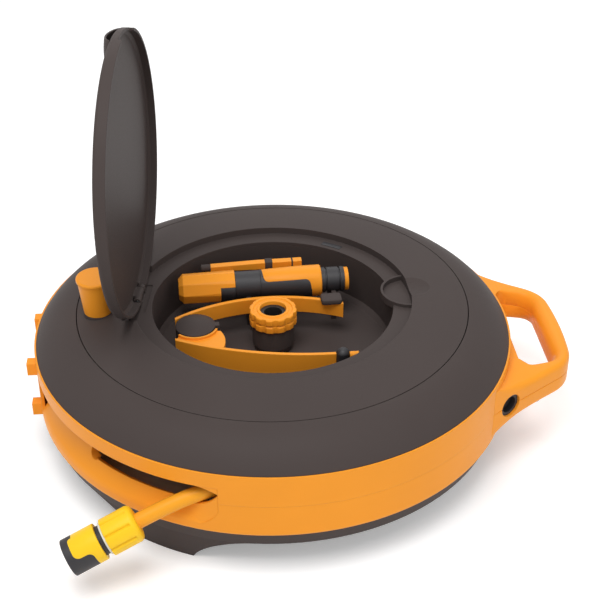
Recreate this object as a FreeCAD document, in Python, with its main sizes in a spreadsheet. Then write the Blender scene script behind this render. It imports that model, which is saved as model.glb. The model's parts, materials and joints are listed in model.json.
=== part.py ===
import FreeCAD, Part
import math
import operator
import os
import Sketcher
from FreeCAD import Placement, Rotation, Vector
from types import SimpleNamespace

# A flat garden hose reel that lies on three feet. The hose winds on a drum inside a round casing, the middle
# of the top turns with the drum and carries the winding knob, and a round lid there covers a tray.
# +Z is up, the ground is at zero and the handle points along +X. Lengths are in mm, angles in degrees.

SIZES = {
    # Casing: two half shells between the base and the fixed ring of the top
    "casing_radius": 216.5,
    "casing_wall": 3.0,
    "casing_bottom": 43.0,
    "casing_edge": 4.0,
    "parting_height": 75.0,
    "casing_top": 104.8,
    "lower_ledge": 23.0,
    "upper_ledge": 12.5,
    # Carrying handle, an upper and a lower half
    "handle_length": 54.5,
    "handle_bow": 2.2,
    "handle_tip_half": 40.0,
    "handle_shoulder_length": 37.5,
    "handle_shoulder_half": 65.1,
    "handle_shoulder_bend": 35.5,
    "handle_root_azimuth": 33.0,
    "handle_top": 90.0,
    "handle_bottom": 59.0,
    "handle_edge": 5.0,
    "handle_flare": 13.0,
    "grip_depth": 15.0,
    "finger_gap_strip": 2.5,
    "finger_gap_inner_half": 53.2,
    "finger_gap_inner_bend": 8.3,
    "finger_gap_end": 13.5,
    "finger_gap_half": 61.0,
    "finger_gap_turn": 24.1,
    "finger_gap_turn_half": 57.3,
    "finger_gap_outer_bend": 19.7,
    "finger_gap_outer_half": 38.7,
    "finger_gap_edge": 1.8,
    # Opening that the hose leaves through, and the gutter below it
    "gutter_start": 193.0,
    "gutter_end": 254.8,
    "gutter_end_bend": 15.0,
    "gutter_depth": 13.0,
    "ridge_height": 55.0,
    "ridge_bend": 13.0,
    "ridge_drop": 2.9,
    "ridge_rise": 2.2,
    "ridge_inset": 1.9,
    "band_height": 14.0,
    "slot_start": 220.5,
    "slot_bottom": 68.85,
    "slot_lip": 4.5,
    "slot_drop": 8.5,
    "slot_bulb_radius": 5.8,
    "slot_bulb_height": 72.6,
    # Four pegs that the reel stands on when the handle is uppermost
    "peg_length": 4.5,
    "peg_spacing": 72.0,
    "peg_width": 10.0,
    "peg_height": 12.0,
    "upper_peg_height": 94.0,
    "lower_peg_height": 50.2,
    # Base with a floor, a skirt and three feet
    "foot_inset": 13.5,
    "foot_wall": 6.0,
    "skirt_inset": 7.5,
    "skirt_top_inset": 2.5,
    "ledge_width": 12.0,
    "floor_height": 33.0,
    "floor_wall": 3.0,
    "arch_height": 29.0,
    "arch_half": 129.0,
    "arch_flank": 33.0,
    "foot_count": 3,
    "rib_count": 6,
    "rib_wall": 2.5,
    "rib_depth": 8.0,
    "rib_inner_radius": 70.0,
    "rib_end_gap": 3.5,
    # Screws
    "screw_count": 6,
    "screw_inset": 17.5,
    "screw_azimuth": 30.0,
    "screw_radius": 2.0,
    "screw_head_radius": 4.0,
    "screw_head": 2.5,
    "screw_length": 17.0,
    "boss_radius": 5.5,
    "handle_screw_offset": 16.5,
    "handle_screw_half": 70.0,
    "handle_screw_length": 20.0,
    # Fixed ring of the top
    "rim_inset": 1.5,
    "seam_radius": 176.8,
    "seam_gap": 0.8,
    "seam_height": 129.4,
    "dome_radius": 54.0,
    "cover_wall": 2.6,
    "seam_wall_depth": 11.0,
    "seam_ledge": 7.0,
    # Turning disc of the top
    "disc_crown_radius": 400.0,
    "seat_radius": 126.0,
    "seat_edge_height": 134.8,
    "shelf_height": 128.0,
    "shelf_wall": 3.5,
    "tray_opening": 109.5,
    "top_turn": -7.5,
    "scoop_azimuth": 10.5,
    "scoop_radius": 24.0,
    "scoop_wall": 2.2,
    "scoop_rim_height": 131.4,
    "scoop_floor_height": 126.5,
    "dish_circle": 132.0,
    "dish_sphere": 32.0,
    "dish_floor_height": 130.6,
    "dish_backing_radius": 16.0,
    "dish_backing_height": 132.0,
    # Lid and its hinge
    "lid_gap": 2.0,
    "lid_lift": 0.3,
    "lid_wall": 2.4,
    "lid_edge": 7.6,
    "lid_shoulder": 3.0,
    "lid_crown": 2.6,
    "hinge_radius": 122.0,
    "hinge_height": 132.2,
    "hinge_pin_radius": 2.0,
    "knuckle_wall": 1.25,
    "knuckle_width": 16.0,
    "ear_width": 5.0,
    "bay_radius": 130.5,
    "bay_half": 46.0,
    "bay_wall": 3.0,
    "trough_half": 24.0,
    "trough_depth": 1.2,
    # Winding knob
    "knob_circle": 157.0,
    "knob_azimuth": 191.5,
    "knob_boss_radius": 12.8,
    "knob_boss_height": 133.9,
    "knob_foot_radius": 12.4,
    "knob_head_radius": 15.8,
    "knob_height": 32.5,
    "knob_cap_radius": 16.8,
    "knob_cap": 3.0,
    "stud_radius": 5.0,
    "stud_head_radius": 9.0,
    "stud_head": 3.0,
    # Drum
    "core_radius": 115.5,
    "core_wall": 2.5,
    "core_top": 122.0,
    "drum_margin": 3.5,
    "flange_wall": 2.5,
    "upper_flange_height": 108.0,
    "collar_depth": 7.0,
    "hub_radius": 20.0,
    "hub_top": 65.5,
    # Fixed spindle, which the water comes through
    "spindle_radius": 13.95,
    "spindle_bore": 4.5,
    "spindle_flange_radius": 24.0,
    "spindle_flange": 3.5,
    "spindle_top": 66.0,
    "seal_section": 1.2,
    "seal_spacing": 16.0,
    "outlet_height": 53.0,
    "outlet_radius": 6.5,
    "outlet_bore": 4.5,
    "washer_radius": 18.0,
    "washer_wall": 2.0,
    # Inlet in the handle's root and the pipe from it to the spindle
    "port_radius": 11.0,
    "port_azimuth": 305.2,
    "port_offset": 106.8,
    "bush_face": 183.0,
    "bush_length": 14.0,
    "bush_mouth_radius": 8.0,
    "bush_mouth": 6.0,
    "pipe_radius": 6.0,
    "pipe_bore": 4.2,
    "pipe_bend": 11.0,
    "pipe_height": 18.8,
    "pipe_inset": 13.5,
    # Tray
    "tray_wall": 2.5,
    "tray_turn": 2.6,
    "tray_floor_height": 80.0,
    "tray_flange": 5.0,
    "tray_foot": 4.0,
    # Hose
    "hose_radius": 6.5,
    "hose_pitch": 13.6,
    "hose_turns": 4,
    "winding_radius": 162.1,
    "winding_start_height": 46.5,
    # Fits
    "fit_gap": 0.05,
    "rest_gap": 0.3,
}

# Spray nozzle, lying along X in two saddles of the tray
SIZES.update({
    "nozzle_start": -84.0,
    "nozzle_side": 52.0,
    "nozzle_height": 116.0,
    "nozzle_head_radius": 15.0,
    "nozzle_head_length": 53.0,
    "nozzle_facets": 8,
    "nozzle_band_radius": 13.2,
    "nozzle_band_length": 24.0,
    "nozzle_neck_radius": 9.0,
    "nozzle_neck_length": 20.0,
    "nozzle_body_radius": 15.0,
    "nozzle_body_length": 58.0,
    "nozzle_ring_length": 7.0,
    "grip_start": 245.0,
    "grip_span": 175.0,
    "nozzle_collar_radius": 12.0,
    "nozzle_collar_length": 22.0,
    "nozzle_collar_groove": 1.6,
    "nozzle_tip_radius": 11.0,
    "nozzle_tip_length": 4.0,
    "nozzle_bore": 7.0,
    "saddle_wall": 4.0,
    "saddle_half": 15.0,
    "saddle_depth": 6.0,
})

# Tap connector on the drum's axis
SIZES.update({
    "tap_ring_radius": 21.8,
    "tap_ring_bore": 12.2,
    "tap_ring_height": 14.0,
    "tap_ring_top": 121.5,
    "tap_ring_waist": 1.6,
    "tap_grooves": 18,
    "tap_groove_radius": 2.1,
    "tap_body_radius": 19.2,
    "tap_foot_radius": 17.0,
    "tap_foot_height": 7.0,
    "tap_washer": 10.0,
    "tap_post_radius": 8.0,
    "tap_post_height": 12.0,
})

# Sprinkler with two curved arms on one hub, and a spike behind the nozzle
SIZES.update({
    "sprinkler_top": 115.0,
    "sprinkler_hub_out": -71.5,
    "sprinkler_hub_side": -9.3,
    "sprinkler_hub_radius": 18.0,
    "sprinkler_hub_height": 12.0,
    "sprinkler_hub_dome": 5.0,
    "nub_length": 7.0,
    "nub_half": 3.0,
    "nub_height": 4.0,
    "arm_gap": 1.2,
    "rear_arm_left": -89.5,
    "rear_arm_left_side": 5.0,
    "rear_arm_right": 66.7,
    "rear_arm_right_side": 13.0,
    "rear_arm_width": 4.0,
    "rear_arm_bow": 150.0,
    "rear_arm_depth": 15.0,
    "rear_post_out": -13.7,
    "rear_post_side": 30.0,
    "front_arm_left": -90.6,
    "front_arm_left_side": -31.3,
    "front_arm_right": 48.3,
    "front_arm_right_side": -69.9,
    "front_arm_width": 3.4,
    "front_arm_bow": 297.0,
    "cup_root_out": -50.0,
    "cup_root_side": -47.0,
    "cup_tip_out": -49.5,
    "cup_tip_side": -17.5,
    "cup_bend": 32.0,
    "cup_drop": 2.5,
    "cup_rim": 1.8,
    "cup_rim_start": -140.0,
    "cup_rim_end": -22.0,
    "front_arm_depth": 22.0,
    "clip_radius": 6.0,
    "clip_height": 5.0,
    "swivel_radius": 6.0,
    "swivel_height": 15.0,
    "swivel_dome": 4.5,
    "jet_radius": 3.2,
    "jet_length": 8.0,
    "post_radius": 5.0,
    "spike_left": -52.0,
    "spike_length": 88.0,
    "spike_side": 79.0,
    "spike_height": 121.0,
    "spike_width": 7.0,
    "spike_thin": 4.5,
    "spike_tip_length": 9.0,
    "spike_tip_radius": 3.6,
})

# Connector on the hose's end
SIZES.update({
    "nut_radius": 15.8,
    "nut_length": 27.0,
    "nut_ribs": 10,
    "nut_groove_radius": 1.5,
    "nut_edge": 4.0,
    "neck_radius": 12.2,
    "neck_length": 8.0,
    "neck_ring_radius": 14.0,
    "neck_ring": 1.6,
    "sleeve_radius": 15.6,
    "sleeve_length": 13.0,
    "sleeve_travel": 3.5,
    "grip_length": 9.5,
    "tongue_start": 122.0,
    "tongue_span": 116.0,
    "tongue_length": 6.0,
    "barrel_radius": 10.4,
    "socket_radius": 8.0,
    "socket_depth": 18.0,
})

# Middle line of the hose's free end, from the winding out through the slot to the connector
HOSE_ROUTE = [
    Vector(88, -154, 81),
    Vector(48, -173, 82),
    Vector(4, -184.5, 82),
    Vector(-40, -190.5, 81),
    Vector(-84, -197.2, 74.5),
    Vector(-121, -207.5, 60.5),
]

doc = FreeCAD.newDocument("hose_reel")
sheet = doc.addObject("Spreadsheet::Sheet", "Sizes")
nodes = {}


class Size:
    """A size on the sheet, or a formula of such sizes: its value now and its text."""

    def __init__(self, value, formula):
        self.value = value
        self.formula = formula

    def __add__(self, other):
        return combined(self, "+", other)

    def __radd__(self, other):
        return combined(other, "+", self)

    def __sub__(self, other):
        return combined(self, "-", other)

    def __rsub__(self, other):
        return combined(other, "-", self)

    def __mul__(self, other):
        return combined(self, "*", other)

    def __rmul__(self, other):
        return combined(other, "*", self)

    def __truediv__(self, other):
        return combined(self, "/", other)

    def __neg__(self):
        return combined(0, "-", self)


SIGNS = {"+": operator.add, "-": operator.sub, "*": operator.mul, "/": operator.truediv}


def as_size(number):
    return number if isinstance(number, Size) else Size(float(number), repr(float(number)))


def combined(left, sign, right):
    left, right = as_size(left), as_size(right)
    return Size(SIGNS[sign](left.value, right.value), "(%s %s %s)" % (left.formula, sign, right.formula))


def cosine(angle):
    return Size(math.cos(math.radians(angle.value)), "cos(%s)" % angle.formula)


def sine(angle):
    return Size(math.sin(math.radians(angle.value)), "sin(%s)" % angle.formula)


def polar(radius, angle):
    return radius * cosine(angle), radius * sine(angle)


def arcsine(ratio):
    return Size(math.degrees(math.asin(ratio.value)), "(asin(%s) / 1deg)" % ratio.formula)


def fill_sheet():
    for row, (name, value) in enumerate(SIZES.items(), 1):
        sheet.set("A%d" % row, name)
        sheet.set("B%d" % row, str(value))
        sheet.setAlias("B%d" % row, name)
    doc.recompute()
    return SimpleNamespace(**{name: Size(value, "Sizes." + name) for name, value in SIZES.items()})


D = fill_sheet()
X_AXIS = Vector(1, 0, 0)
Y_AXIS = Vector(0, 1, 0)
Z_AXIS = Vector(0, 0, 1)

# Sizes that follow the casing's radius
D.lower_ledge_radius = D.casing_radius - D.lower_ledge
D.upper_ledge_radius = D.casing_radius - D.upper_ledge
D.handle_reach = D.casing_radius + D.handle_length
D.handle_shoulder_out = D.casing_radius + D.handle_shoulder_length
D.finger_gap_inner = D.casing_radius + D.finger_gap_strip
D.finger_gap_end_out = D.casing_radius + D.finger_gap_end
D.finger_gap_turn_out = D.casing_radius + D.finger_gap_turn
D.handle_screw_out = D.casing_radius + D.handle_screw_offset
D.peg_reach = D.casing_radius + D.peg_length
D.foot_radius = D.casing_radius - D.foot_inset
D.skirt_radius = D.casing_radius - D.skirt_inset
D.skirt_top_radius = D.casing_radius - D.skirt_top_inset
D.screw_circle = D.casing_radius - D.screw_inset
D.rib_outer_radius = D.screw_circle - D.boss_radius - D.rib_end_gap
D.rim_radius = D.casing_radius - D.rim_inset
D.gutter_span = D.gutter_end - D.gutter_start
D.slot_span = D.gutter_end - D.slot_start
D.flange_radius = D.lower_ledge_radius - D.drum_margin
D.pipe_circle = D.casing_radius - D.pipe_inset
D.pipe_azimuth = D.port_azimuth + arcsine(D.port_offset / D.pipe_circle)

# The drum's axis stands off the middle of the object's box: the handle reaches further than the pegs.
AXIS_X = (D.peg_reach - D.handle_reach) / 2


# Sketches

def pin(item, geometry, end, across, up):
    for kind, axis, place in (("DistanceX", -2, across), ("DistanceY", -1, up)):
        if isinstance(place, Size):
            index = item.addConstraint(Sketcher.Constraint(kind, -1, 1, geometry, end, place.value))
            item.setExpression("Constraints[%d]" % index, place.formula)
        else:
            item.addConstraint(Sketcher.Constraint("PointOnObject", geometry, end, axis))


def arc_between(start, end, bend):
    """The short arc from start to end that turns left for a positive bend and right for a negative one."""
    chord = end - start
    rise = math.sqrt(max(bend * bend - chord.Length ** 2 / 4, 0.0))
    left = Vector(-chord.y, chord.x, 0).normalize()
    centre = (start + end) * 0.5 + left * math.copysign(rise, bend)
    first, last = (start, end) if bend > 0 else (end, start)
    angles = [math.atan2(spot.y - centre.y, spot.x - centre.x) for spot in (first, last)]
    return Part.ArcOfCircle(Part.Circle(centre, Z_AXIS, abs(bend)), *angles)


def outline(item, corners):
    """A closed line through corners (across, up) or (across, up, bend): a bend is the radius of the side that
    ends in that corner, positive where the side turns left."""
    spots = [Vector(as_size(c[0]).value, as_size(c[1]).value, 0) for c in corners]
    heads, tails = [], []
    for here, spot in enumerate(spots):
        there = (here + 1) % len(spots)
        if len(corners[there]) < 3:
            index = item.addGeometry(Part.LineSegment(spot, spots[there]))
            ends = (1, 2)
        else:
            bend = corners[there][2]
            index = item.addGeometry(arc_between(spot, spots[there], bend.value))
            ends = (1, 2) if bend.value > 0 else (2, 1)
            radius = bend if bend.value > 0 else -bend
            limit = item.addConstraint(Sketcher.Constraint("Radius", index, radius.value))
            item.setExpression("Constraints[%d]" % limit, radius.formula)
        heads.append((index, ends[0]))
        tails.append((index, ends[1]))
    for here, corner in enumerate(corners):
        item.addConstraint(Sketcher.Constraint("Coincident", *tails[here - 1], *heads[here]))
        pin(item, *heads[here], corner[0], corner[1])


def draw(body, role, name, corners=(), circles=(), lift=None, turn=None):
    """A sketch on one of the body's own planes, moved along its normal by lift and turned about Z by turn."""
    item = body.newObject("Sketcher::SketchObject", name)
    plane = next(f for f in body.Origin.OriginFeatures if f.Role == role)
    item.AttachmentSupport = [(plane, "")]
    item.MapMode = "FlatFace"
    if turn is not None:
        item.AttachmentOffset = Placement(Vector(), Rotation(Y_AXIS, 90))
        item.setExpression("AttachmentOffset.Rotation.Angle", turn.formula)
    if lift is not None:
        item.setExpression("AttachmentOffset.Base.z", as_size(lift).formula)
    if corners:
        outline(item, corners)
    for across, up, radius in circles:
        middle = Vector(as_size(across).value, as_size(up).value, 0)
        index = item.addGeometry(Part.Circle(middle, Z_AXIS, radius.value))
        pin(item, index, 3, across, up)
        limit = item.addConstraint(Sketcher.Constraint("Radius", index, radius.value))
        item.setExpression("Constraints[%d]" % limit, radius.formula)
    return item


# Features

def new_body(label):
    body = doc.addObject("PartDesign::Body", label)
    body.Label = label
    body.AllowCompound = True
    nodes[label] = body
    return body


def settle(body, item, before, cuts):
    doc.recompute()
    change = body.Shape.Volume - before
    if (change > -0.5) if cuts else (change < 0.5):
        raise RuntimeError("%s of %s changes the volume by %.3f" % (item.Label, body.Label, change))
    return item


def volume(body):
    doc.recompute()
    return body.Shape.Volume if body.Tip else 0.0


def revolve(body, name, corners, start=None, span=None, cuts=False):
    """Turns a profile of (radius, height) corners about Z, all round or over a span of degrees."""
    before = volume(body)
    profile = draw(body, "XZ_Plane", name + "_profile", corners, turn=start)
    item = body.newObject("PartDesign::Groove" if cuts else "PartDesign::Revolution", name)
    item.Profile = profile
    item.ReferenceAxis = (profile, ["V_Axis"])
    item.Angle = 360.0
    if span is not None:
        item.setExpression("Angle", span.formula)
    return settle(body, item, before, cuts)


def extrude(body, name, role, length, corners=(), circles=(), lift=None, turn=None, cuts=False, both=False):
    """Pads a sketch along its plane's normal, or cuts with it, to one side or half to each."""
    before = volume(body)
    profile = draw(body, role, name + "_outline", corners, circles, lift, turn)
    item = body.newObject("PartDesign::Pocket" if cuts else "PartDesign::Pad", name)
    item.Profile = profile
    item.setExpression("Length", as_size(length).formula)
    item.Reversed = cuts
    if both:
        item.SideType = "Symmetric"
    return settle(body, item, before, cuts)


def around(body, name, features, count):
    """Repeats features about Z."""
    doc.recompute()
    item = body.newObject("PartDesign::PolarPattern", name)
    item.Originals = features
    axis = next(f for f in body.Origin.OriginFeatures if f.Role == "Z_Axis")
    item.Axis = (axis, [""])
    item.Angle = 360.0
    item.setExpression("Occurrences", count.formula)
    body.Tip = item
    doc.recompute()
    return item


def soften(body, name, radius, chosen):
    """Rounds the edges of the body that the test picks."""
    doc.recompute()
    tip = body.Tip
    edges = ["Edge%d" % number for number, edge in enumerate(tip.Shape.Edges, 1) if chosen(edge)]
    item = body.newObject("PartDesign::Fillet", name)
    item.Base = (tip, edges)
    item.setExpression("Radius", radius.formula)
    doc.recompute()
    if "Invalid" in item.State:
        raise RuntimeError("%s of %s can't round %d edges" % (name, body.Label, len(edges)))
    return item


def place(item, x=0, y=0, z=0, turn=None):
    """Sets a piece down at a place that is measured from the drum's axis on the ground."""
    item.Placement = Placement(Vector(), turn or Rotation())
    for axis, offset in zip("xyz", (x + AXIS_X, y, z)):
        item.setExpression("Placement.Base." + axis, as_size(offset).formula)


def swing(item, angle, x, y, z, turn):
    """Sets a piece down at a place that is then turned about the drum's axis."""
    cos, sin = cosine(angle), sine(angle)
    whole = Rotation(Z_AXIS, angle.value) * (turn or Rotation())
    place(item, x * cos - y * sin, x * sin + y * cos, z, whole)


def ride(item, x=0, y=0, z=0, turn=None):
    """Sets a piece of the turning top down, at a place that is measured with the top turned straight."""
    swing(item, D.top_turn, x, y, z, turn)


def lay(item, x=0, y=0, z=0, turn=None):
    """Sets the tray or a fitting in it down, at a place that is measured with the tray turned straight."""
    swing(item, D.tray_turn, x, y, z, turn)


def turned(label, corners):
    body = new_body(label)
    revolve(body, label + "_turned", corners)
    return body


# Casing

def handle_outline():
    root_x, root_y = polar(D.casing_radius - D.casing_wall / 2, D.handle_root_azimuth)
    tip = D.handle_reach - D.handle_bow
    bow = (D.handle_tip_half * D.handle_tip_half + D.handle_bow * D.handle_bow) / (D.handle_bow * 2)
    return [
        (root_x, -root_y, -(D.casing_radius - D.casing_wall / 2)),
        (D.handle_shoulder_out, -D.handle_shoulder_half),
        (tip, -D.handle_tip_half, D.handle_shoulder_bend),
        (tip, D.handle_tip_half, bow),
        (D.handle_shoulder_out, D.handle_shoulder_half, D.handle_shoulder_bend),
        (root_x, root_y),
    ]


def finger_gap():
    outer = D.handle_reach - D.handle_bow - D.grip_depth
    return [
        (D.finger_gap_end_out, -D.finger_gap_half, D.finger_gap_inner_bend),
        (D.finger_gap_turn_out, -D.finger_gap_turn_half),
        (outer, -D.finger_gap_outer_half, D.finger_gap_outer_bend),
        (outer, D.finger_gap_outer_half),
        (D.finger_gap_turn_out, D.finger_gap_turn_half, D.finger_gap_outer_bend),
        (D.finger_gap_end_out, D.finger_gap_half),
        (D.finger_gap_inner, D.finger_gap_inner_half, D.finger_gap_inner_bend),
        (D.finger_gap_inner, -D.finger_gap_inner_half),
    ]


def make_handle(label, bottom, top, face, rises):
    """Half of the carrying handle: its outer face flares in a cove towards the casing that it grows from."""
    body = new_body(label)
    extrude(body, label + "_blank", "XY_Plane", top - bottom, handle_outline(), lift=bottom)
    root = polar(D.casing_radius - D.casing_wall * 2, D.handle_root_azimuth)[0]
    end = D.casing_radius + D.handle_flare
    far = D.handle_reach + D.handle_edge
    run = end - root
    if rises:
        fall = top - face
        cove = (run * run + fall * fall) / (fall * 2)
        over = top + D.handle_edge
        flare = [(root, top), (end, face, cove), (far, face), (far, over), (root, over)]
    else:
        fall = face - bottom
        cove = (run * run + fall * fall) / (fall * 2)
        under = bottom - D.handle_edge
        flare = [(root, under), (far, under), (far, face), (end, face), (root, bottom, cove)]
    extrude(body, label + "_flare", "XZ_Plane", D.casing_radius * 2, flare, both=True, cuts=True)
    extrude(body, label + "_gap", "XY_Plane", top, finger_gap(), lift=bottom, cuts=True)

    def in_gap(edge):
        return all(v.Point.x < D.handle_shoulder_out.value and abs(v.Point.y) < D.finger_gap_half.value + 0.5
                   for v in edge.Vertexes)

    def on_face(edge):
        box = edge.BoundBox
        inside = all(math.hypot(v.Point.x, v.Point.y) < D.casing_radius.value for v in edge.Vertexes)
        level = box.ZMin > face.value - 0.01 if rises else box.ZMax < face.value + 0.01
        return level and not inside and edge.Length > 1

    soften(body, label + "_grip_edges", D.handle_edge, lambda edge: on_face(edge) and not in_gap(edge))
    soften(body, label + "_gap_edges", D.finger_gap_edge, lambda edge: on_face(edge) and in_gap(edge))
    reach = D.casing_radius + D.fit_gap
    revolve(body, label + "_seat", [
        (0, bottom - D.handle_edge),
        (reach, bottom - D.handle_edge),
        (reach, top + D.handle_edge),
        (0, top + D.handle_edge),
    ], cuts=True)
    cut_port(body)
    screw_end = D.handle_bottom + D.handle_screw_length
    extrude(body, label + "_screw_bores", "XY_Plane", screw_end, lift=0, cuts=True, circles=[
        (D.handle_screw_out, D.handle_screw_half * side, D.screw_radius + D.fit_gap) for side in (-1, 1)])
    place(body)


def make_handles():
    make_handle("lower_handle", D.casing_bottom + D.casing_edge, D.parting_height, D.handle_bottom, False)
    make_handle("upper_handle", D.parting_height, D.casing_top, D.handle_top, True)


def add_pegs(body, height):
    for name, side in (("near", -1), ("far", 1)):
        middle = D.peg_spacing * side / 2
        length = D.peg_length + D.casing_wall * 2
        extrude(body, "%s_peg_%s" % (body.Label, name), "YZ_Plane", length, [
                    (middle - D.peg_width / 2, height - D.peg_height / 2),
                    (middle + D.peg_width / 2, height - D.peg_height / 2),
                    (middle + D.peg_width / 2, height + D.peg_height / 2),
                    (middle - D.peg_width / 2, height + D.peg_height / 2),
                ], lift=-D.peg_reach)


def cut_port(body):
    extrude(body, body.Label + "_port", "YZ_Plane", D.casing_radius * 2, turn=D.port_azimuth, cuts=True,
            circles=[(D.port_offset, D.parting_height, D.port_radius)])


def cut_pipe_hole(body):
    depth = D.casing_bottom + D.casing_wall * 2
    extrude(body, body.Label + "_pipe_hole", "XY_Plane", depth, lift=0, cuts=True,
            circles=[(*polar(D.pipe_circle, D.pipe_azimuth), D.pipe_radius + D.rest_gap * 2)])


def make_lower_shell():
    body = turned("lower_shell", [
        (D.lower_ledge_radius, D.casing_bottom),
        (D.casing_radius - D.casing_edge, D.casing_bottom),
        (D.casing_radius, D.casing_bottom + D.casing_edge, D.casing_edge),
        (D.casing_radius, D.parting_height),
        (D.casing_radius - D.casing_wall, D.parting_height),
        (D.casing_radius - D.casing_wall, D.casing_bottom + D.casing_wall),
        (D.lower_ledge_radius, D.casing_bottom + D.casing_wall),
    ])
    cut_gutter(body, D.ridge_height - D.ridge_drop, D.parting_height + D.casing_wall)
    inner = D.casing_radius - D.gutter_depth
    top = D.casing_top - D.band_height - D.rest_gap
    rise = top - D.ridge_height - D.ridge_rise
    sweep = D.gutter_depth - D.ridge_inset
    cove = (sweep * sweep + rise * rise) / (sweep * 2)
    revolve(body, "gutter", [
        (D.casing_radius, D.casing_bottom + D.casing_edge),
        (D.casing_radius, D.ridge_height - D.ridge_drop),
        (D.casing_radius - D.ridge_inset, D.ridge_height + D.ridge_rise, D.ridge_bend),
        (inner, top, -cove),
        (inner - D.casing_wall, top),
        (inner - D.casing_wall, D.ridge_height + D.gutter_depth),
        (D.casing_radius - D.casing_wall * 2, D.casing_bottom + D.casing_edge),
    ], D.gutter_start, D.gutter_span)
    face = D.casing_radius - D.casing_wall - D.rest_gap
    revolve(body, "hose_slot", [
        (inner - D.casing_wall * 2, D.slot_bottom - D.slot_drop),
        (inner + D.slot_lip, D.slot_bottom),
        (face, D.slot_bottom),
        (face, top + D.casing_wall),
        (inner - D.casing_wall * 2, top + D.casing_wall),
    ], D.slot_start, D.slot_span, cuts=True)
    extrude(body, "slot_bulb", "YZ_Plane", face, turn=D.slot_start, cuts=True,
            circles=[(0, D.slot_bulb_height, D.slot_bulb_radius)])
    cut_port(body)
    add_pegs(body, D.lower_peg_height)
    depth = D.casing_bottom + D.casing_wall * 2
    bore = extrude(body, "base_screw_bore", "XY_Plane", depth, lift=0, cuts=True,
                   circles=[(*polar(D.screw_circle, D.screw_azimuth), D.screw_radius + D.fit_gap)])
    around(body, "base_screw_bores", [bore], D.screw_count)
    cut_pipe_hole(body)
    place(body)


def cut_gutter(body, bottom, top):
    """Takes the wall away in front of the gutter, whose end is rounded where the hose comes out."""
    turn = arcsine(D.gutter_end_bend / D.casing_radius)
    inner = D.casing_radius - D.gutter_depth
    revolve(body, body.Label + "_cutaway", [
        (inner, bottom),
        (D.casing_radius + D.casing_wall, bottom),
        (D.casing_radius + D.casing_wall, top),
        (inner, top),
    ], D.gutter_start, D.gutter_span - turn, cuts=True)
    foot = [(0, bottom), (D.gutter_end_bend, bottom + D.gutter_end_bend, D.gutter_end_bend * 1.8)]
    if bottom.value > D.ridge_height.value:
        foot = [(0, bottom), (D.gutter_end_bend, bottom)]
    extrude(body, body.Label + "_gutter_end", "YZ_Plane", D.casing_radius + D.gutter_depth, [
        *foot,
        (D.gutter_end_bend, top),
        (0, top),
    ], turn=D.gutter_end - turn, cuts=True)


def make_upper_shell():
    body = turned("upper_shell", [
        (D.casing_radius - D.casing_wall, D.parting_height),
        (D.casing_radius, D.parting_height),
        (D.casing_radius, D.casing_top),
        (D.upper_ledge_radius, D.casing_top),
        (D.upper_ledge_radius, D.casing_top - D.casing_wall),
        (D.casing_radius - D.casing_wall, D.casing_top - D.casing_wall),
    ])
    cut_gutter(body, D.parting_height - D.casing_wall, D.casing_top - D.band_height)
    cut_port(body)
    add_pegs(body, D.upper_peg_height)
    place(body)


def make_base():
    floor = D.floor_height - D.floor_wall
    ledge = D.skirt_top_radius - D.ledge_width
    body = turned("base", [
        (D.pipe_radius + D.rest_gap, floor),
        (D.foot_radius - D.foot_wall, floor),
        (D.foot_radius - D.foot_wall, 0),
        (D.foot_radius, 0),
        (D.skirt_radius, D.arch_height),
        (D.skirt_top_radius, D.casing_bottom),
        (ledge, D.casing_bottom),
        (ledge, D.floor_height),
        (D.pipe_radius + D.rest_gap, D.floor_height),
    ])
    foot = D.arch_half + D.arch_flank
    flank = (D.arch_flank * D.arch_flank + D.arch_height * D.arch_height) / (D.arch_height * 2)
    arch = extrude(body, "arch", "YZ_Plane", D.casing_radius, [
        (-foot, -D.foot_wall),
        (foot, -D.foot_wall),
        (foot, 0),
        (D.arch_half, D.arch_height, flank),
        (-D.arch_half, D.arch_height),
        (-foot, 0, flank),
    ], lift=-D.casing_radius, cuts=True)
    around(body, "arches", [arch], D.foot_count)
    rib = extrude(body, "rib", "XY_Plane", D.rib_depth, [
        (-D.rib_wall / 2, D.rib_inner_radius),
        (D.rib_wall / 2, D.rib_inner_radius),
        (D.rib_wall / 2, D.rib_outer_radius),
        (-D.rib_wall / 2, D.rib_outer_radius),
    ], lift=floor - D.rib_depth)
    boss_x, boss_y = polar(D.screw_circle, D.screw_azimuth)
    boss = extrude(body, "boss", "XY_Plane", D.casing_bottom - floor, lift=floor,
                   circles=[(boss_x, boss_y, D.boss_radius)])
    bore = extrude(body, "bore", "XY_Plane", D.casing_bottom, lift=0, cuts=True,
                   circles=[(boss_x, boss_y, D.screw_radius + D.fit_gap)])
    around(body, "ribs_and_bosses", [rib, boss, bore], D.rib_count)
    cut_pipe_hole(body)
    place(body)


def make_screws():
    """Six screws up through the base, and two up through the handle."""
    seat = D.arch_height
    body = new_body("base_screws")
    x, y = polar(D.screw_circle, D.screw_azimuth)
    head = extrude(body, "head", "XY_Plane", D.screw_head, lift=seat - D.screw_head,
                   circles=[(x, y, D.screw_head_radius)])
    shank = extrude(body, "shank", "XY_Plane", D.screw_length, circles=[(x, y, D.screw_radius)], lift=seat)
    around(body, "base_screw_ring", [head, shank], D.screw_count)
    place(body)
    body = new_body("handle_screws")
    spots = [(D.handle_screw_out, D.handle_screw_half * side) for side in (-1, 1)]
    extrude(body, "handle_screw_heads", "XY_Plane", D.screw_head, lift=D.handle_bottom - D.screw_head,
            circles=[(x, y, D.screw_head_radius) for x, y in spots])
    extrude(body, "handle_screw_shanks", "XY_Plane", D.handle_screw_length, lift=D.handle_bottom,
            circles=[(x, y, D.screw_radius) for x, y in spots])
    place(body)


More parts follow.
